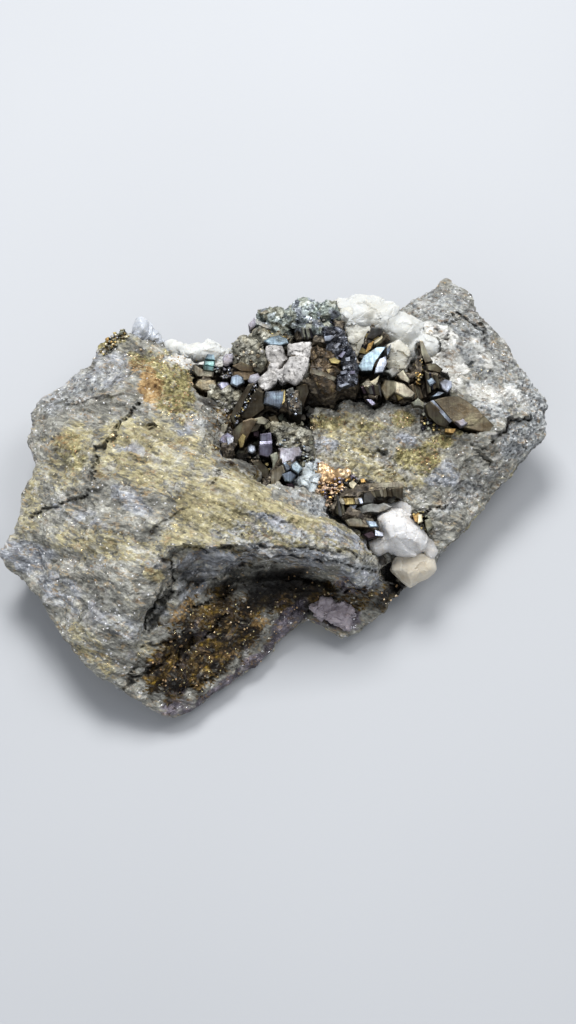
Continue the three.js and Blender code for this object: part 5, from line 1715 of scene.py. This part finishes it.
BLOCKS = (
    Pebble((289, 345, 299, 343.5, 310.5, 343, 311, 349, 309, 358, 299, 358, 288, 355), 23.0, 1.0, 5.0,
        Form.BLOCK, (2, 8)),
    Pebble((291, 357, 303, 357, 309.5, 359, 308, 366, 306, 373, 302, 380, 296, 384, 290, 382, 284, 379,
        285, 367), 22.4, 1.1, 5.0, Form.BLOCK, (-4, 4)),
    Pebble((266, 347, 274, 345.5, 282, 346.5, 284, 354, 287, 359, 280, 367, 271, 366, 267, 358), 21.4,
        1.0, 5.0, Form.BLOCK),
    Pebble((269, 364, 279, 364, 277, 373, 268, 374), 21.4, 0.7, 4.0, Form.BLOCK),
    Pebble((263, 375, 269, 370.5, 276, 374, 277, 382, 271, 388, 265, 391, 260, 388, 258, 381), 21.0, 1.0,
        4.0, Form.BLOCK, (-6, 0)),
    Pebble((276, 371, 285, 369, 288, 380, 282, 384, 277, 378), 21.4, 0.8, 4.0, Form.BLOCK),
)


@dataclass
class MetalCrust:
    """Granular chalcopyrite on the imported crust."""

    name: str = "copper_crust"
    nodes: tuple[str, ...] = ("chalcopyrite_crust",)
    cell: float = 0.26
    ease: int = 2
    finish: MetalGrainFinish = MetalGrainFinish()

    def build(self) -> bpy.types.Object:
        """Builds and dresses the crust."""
        piece = remeshed(copied(self.name, self.nodes), self.cell, self.ease)
        mesh = piece.data
        points, normals = surface_of(mesh)
        near = Noise.cells(points, 1.2, 91)[0]
        height = 0.25 * (0.5 - near) + 0.25 * Noise.layered(points, 1.6, 3, 93)
        write_points(mesh, points + normals * height[:, None])
        dress(mesh, self.finish.material())
        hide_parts(*self.nodes)
        return piece


@dataclass
class Sprinkle:
    """Small crystals set on the slab by a node tree, where a zone's own value is high."""

    name: str
    slot: str
    zone: Zone
    per_area: float
    smallest: float
    largest: float
    seed: int
    sides: int = 4
    finish: MetalGrainFinish = MetalGrainFinish()

    def _seedling(self) -> bpy.types.Object:
        """One small crystal, a millimetre across, to be repeated."""
        count = self.sides
        turns = [2 * math.pi * (k + 0.18 * (k % 2)) / count for k in range(count)]
        outline = [(math.cos(t), math.sin(t)) for t in turns]
        rings = ((0.7, 0.6), (1.0, 0.35), (0.8, -0.6))
        corners = [(a * share / 2, b * share / 2, z) for share, z in rings for a, b in outline]
        mesh = bpy.data.meshes.new(self.name + "_seedling")
        mesh.from_pydata((np.array(corners) * MM).tolist(), [], tube_faces(count, 3))
        dress(mesh, self.finish.material())
        return linked(mesh.name, mesh)

    def _tree(self) -> tuple[Tree, dict[str, str]]:
        """The scattering tree and the identifier of each named input."""
        tree = bpy.data.node_groups.new(self.name + " scatter", "GeometryNodeTree")
        face = tree.interface
        face.new_socket("Geometry", in_out="INPUT", socket_type="NodeSocketGeometry")
        kinds = {
            "Seedling": "Object",
            "Where": "Float",
            "Per area": "Float",
            "Smallest": "Float",
            "Largest": "Float",
            "Seed": "Int",
            "Material": "Material",
        }
        ids = {
            key: face.new_socket(key, in_out="INPUT", socket_type="NodeSocket" + kind).identifier
            for key, kind in kinds.items()
        }
        face.new_socket("Geometry", in_out="OUTPUT", socket_type="NodeSocketGeometry")
        n = Nodes(tree)
        start, end = n.add("NodeGroupInput").outputs, n.add("NodeGroupOutput")
        seed = start["Seed"]
        density = n.product(start["Where"], start["Per area"])
        sowing = {"Mesh": start["Geometry"], "Density": density, "Seed": seed}
        spots = n.add("GeometryNodeDistributePointsOnFaces", sowing).outputs
        source = n.add("GeometryNodeObjectInfo", {"Object": start["Seedling"]})
        reach = {0: (-0.7, -0.7, -3.1), 1: (0.7, 0.7, 3.1), "Seed": seed}
        spin = n.add("FunctionNodeRandomValue", reach, data_type="FLOAT_VECTOR")
        turned = n.add("FunctionNodeEulerToRotation", {0: spin.outputs[0]})
        turns = {"Rotation": spots["Rotation"], "Rotate By": turned.outputs[0]}
        facing = n.add("FunctionNodeRotateRotation", turns, rotation_space="LOCAL")
        sizes = {2: start["Smallest"], 3: start["Largest"], "Seed": seed}
        size = n.add("FunctionNodeRandomValue", sizes, data_type="FLOAT")
        placing = {
            "Points": spots["Points"],
            "Instance": source.outputs["Geometry"],
            "Rotation": facing.outputs[0],
            "Scale": size.outputs[1],
        }
        set_down = n.add("GeometryNodeInstanceOnPoints", placing)
        real = n.add("GeometryNodeRealizeInstances", {"Geometry": set_down.outputs[0]})
        look = {"Geometry": real.outputs[0], "Material": start["Material"]}
        n.feed(end, {0: n.add("GeometryNodeSetMaterial", look).outputs[0]})
        return tree, ids

    def build(self, ground: bpy.types.Object) -> bpy.types.Object:
        """Scatters the crystals over the surface that they stand on."""
        seedling = self._seedling()
        piece = linked(self.name, ground.data.copy())
        tree, ids = self._tree()
        scatter = piece.modifiers.new("scatter", "NODES")
        scatter.node_group = tree
        scatter[ids["Seedling"]] = seedling
        scatter[ids["Where"] + "_use_attribute"] = True
        scatter[ids["Where"] + "_attribute_name"] = self.zone.value
        scatter[ids["Per area"]] = self.per_area / MM**2
        scatter[ids["Smallest"]] = self.smallest
        scatter[ids["Largest"]] = self.largest
        scatter[ids["Seed"]] = self.seed
        scatter[ids["Material"]] = self.finish.material()
        settled(piece)
        bpy.data.objects.remove(seedling)
        return piece


@dataclass
class Studio:
    """The pale floor, the soft lights and the camera."""

    floor: FloorFinish = FloorFinish()
    half: float = 3.0
    sky: str = "dfe4ec"
    glow: float = 0.63
    film: float = 36.0
    target: tuple[float, float, float] = (0.0, 0.0, 0.012)

    def _light(self, name: str, at: tuple[float, float, float], size: float, power: float) -> None:
        """One soft square light aimed at the specimen."""
        lamp = bpy.data.lights.new(name, "AREA")
        lamp.size = size
        lamp.energy = power
        holder = linked(name, lamp)
        holder.location = at
        holder.rotation_euler = (Vector(self.target) - Vector(at)).to_track_quat("-Z", "Y").to_euler()

    def build(self) -> None:
        """Sets the floor, the lights and the camera."""
        corners = [(x * self.half, y * self.half, 0) for x, y in ((-1, -1), (1, -1), (1, 1), (-1, 1))]
        mesh = bpy.data.meshes.new("floor")
        mesh.from_pydata(corners, [], [(0, 1, 2, 3)])
        dress(mesh, self.floor.material())
        linked("floor", mesh)
        world = bpy.data.worlds.new("studio")
        world.use_nodes = True
        back = world.node_tree.nodes["Background"]
        back.inputs[0].default_value = colour(self.sky)
        back.inputs[1].default_value = self.glow
        bpy.context.scene.world = world
        self._light("key", (-0.06, 0.26, 0.46), 0.2, 3.0)
        self._light("top", (0.24, 0.12, 0.48), 0.25, 1.2)
        self._light("front", (-0.25, -0.45, 0.30), 0.5, 0.7)
        camera = bpy.data.cameras.new("camera")
        camera.sensor_width = self.film
        camera.lens = self.film * SHEET.distance / SHEET.step / SHEET.tall
        camera.clip_start = 0.01
        holder = linked("camera", camera)
        holder.location = (SHEET.eye + SHIFT) * MM
        holder.rotation_euler = (math.radians(90 - SHEET.elevation), 0, 0)
        bpy.context.scene.camera = holder
        bpy.context.scene.view_settings.view_transform = "Standard"


CRUST = ("cubanite_crust",)
COARSE, FINE = (2.6, 0.4, 0.6), (1.2, 0.2, 0.4)  # breaks of the crusts

GROUND = CrustFinish(
    "crystal ground", ("221d18", "524a40", "7e7566", "aea697"), ("6c5c3c", "5c5450", "4c5058"), 0.5, 0.5
)
CROWNED = CrustFinish(
    "crown crust", ("3a3b37", "7a7d78", "a9ada8", "e6eaec"), ("8c8050", "708884", "7c80a8"), 0.6, 0.45, 0.32
)
RIDGED = CrustFinish(
    "twin ridges", ("141416", "34353c", "64676f", "c2c6ce"), ("5c544c", "5c5c66", "687080"), 0.4, 0.6, 0.2
)
FACED = CrustFinish(
    "twin face", ("17120c", "3c3324", "665640", "a0926c"), ("5c4c34", "544a3c", "4c4444"), 0.5, 0.5, 0.28
)
SADDLED = CrustFinish(
    "saddle crust", ("38362e", "6c6a5e", "999688", "d2d0c2"), ("7c6c40", "84847c", "8c9098"), metal=0.2
)
BLOCKED = CrustFinish(
    "grey blocks", ("6c6a68", "a6a3a0", "c0bdba", "e0dedc"), ("88847c", "888684", "84868a"), 0.3, 0.1, 0.5
)

PIECES = (
    CrystalCluster("hollow_crystals", CRUST, HOLLOW, 3),
    CrystalCluster("lower_crystals", ("cubanite_lower_cluster",), LOWER, 5),
    CrystalCluster("fan_crystals", ("cubanite_fan",), FAN, 7),
    CrystalCluster("bronze_crystals", ("cubanite_bronze_row",), BRONZE_ROW, 9),
    CrystalCluster("wedge_crystal", ("cubanite_wedge",), WEDGE, 11),
    CrystalCluster("gold_knot", ("chalcopyrite_knot",), KNOT, 13, "chalcopyrite"),
    BrokenBody("calcite_edge", ("calcite_crest",), CalciteFinish("crest calcite", "bbbcb9"),
        breaks=((4.2, 0.3, 0.36), (1.9, 0.08, 0.22))),
    BrokenBody("calcite_wall", ("calcite_crest",), CalciteFinish("wall calcite", "bebcb2", "aca692"),
        pebbles=WALL, breaks=((3.4, 0.2, 0.4), (1.6, 0.05, 0.2))),
    BrokenBody("calcite_foot", ("calcite_nodule",),
        CalciteFinish("foot calcite", "ccc4b4", "b4a68c", gloss=0.3),
        pebbles=FOOT, swell=0.1, breaks=((5.0, 0.3, 0.35), (2.4, 0.0, 0.1))),
    BrokenBody("violet_quartz", ("matrix",),
        CalciteFinish("violet quartz", "8e868c", "70666a", "4a454a", 0.2),
        "quartz", RIM, breaks=((2.4, 0.4, 0.7), (1.0, 0.1, 0.4))),
    BrokenBody("calcite_corner", ("calcite_notch",), CalciteFinish("notch calcite")),
    BrokenBody("calcite_bead", ("calcite_nodule",),
        CalciteFinish("nodule calcite", "cfcecd", "bcb2a4", gloss=0.2),
        pebbles=NODULE, swell=0.1, breaks=((4.6, 0.3, 0.38), (2.0, 0.06, 0.18)), sugar=0.04),
    BrokenBody("crystal_ground", CRUST + ("cubanite_lower_cluster", "cubanite_fan", "cubanite_bronze_row"),
        GROUND, "cubanite", cell=0.34, swell=-0.5, breaks=((2.4, 0.2, 0.3), (1.2, 0.1, 0.25))),
    BrokenBody("crown_crust", CRUST, CROWNED, "cubanite", CROWN, 0.25, breaks=(COARSE, FINE)),
    BrokenBody("twin_ridges", CRUST, RIDGED, "cubanite", RIDGES, 0.2, 0.0,
        ((2.0, 0.2, 0.35), (0.9, 0.0, 0.2))),
    BrokenBody("twin_face", CRUST, FACED, "cubanite", FACE, 0.22, 0.0,
        ((3.0, 0.15, 0.4), (1.3, 0.0, 0.25))),
    BrokenBody("saddle_crust", CRUST, SADDLED, "cubanite", SADDLE, 0.25, breaks=(COARSE, FINE)),
    BrokenBody("grey_blocks", CRUST, BLOCKED, "cubanite", BLOCKS, 0.2, 0.1,
        ((2.6, 0.05, 0.16), (1.0, 0.06, 0.06)), ease=2),
    BrokenBody("calcite_grains", ("calcite_granules",),
        CalciteFinish("granule calcite", "b6bdbf", "969da0", "7c8488", 0.15),
        cell=0.2, breaks=((1.9, 0.1, 1.1), (0.9, 0.0, 0.7)), ease=2),
    BrokenBody("quartz_point", ("quartz_tip",), CalciteFinish("quartz", "b2b6bc", "8e9299", gloss=0.15),
        "quartz", QUARTZ, breaks=((3.0, 0.1, 0.5), (1.5, 0.0, 0.25))),
    MetalCrust(),
    CrystalCluster("copper_grains", ("chalcopyrite_crust",), COPPER, 15, "chalcopyrite"),
    CrystalCluster("edge_crystals", ("matrix",), EDGE, 21, "chalcopyrite"),
)

SPRINKLES = (
    Sprinkle("gold_sprinkle", "chalcopyrite", Zone.DRUSE, 0.6, 0.2, 0.5, 17),
    Sprinkle("bronze_sprinkle", "chalcopyrite", Zone.BRONZE, 0.16, 0.2, 0.45, 19, 6),
)


def main() -> None:
    """Builds the whole specimen and reports each piece."""
    logging.basicConfig(level=logging.INFO, format="%(message)s")
    Studio().build()
    rock = Rock().build()
    pieces = [rock, *(part.build() for part in PIECES), *(grains.build(rock) for grains in SPRINKLES)]
    for piece in pieces:
        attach(piece, "root")
        log.info("%s: %d faces", piece.name, len(piece.data.polygons))


if __name__ == "__main__":
    main()
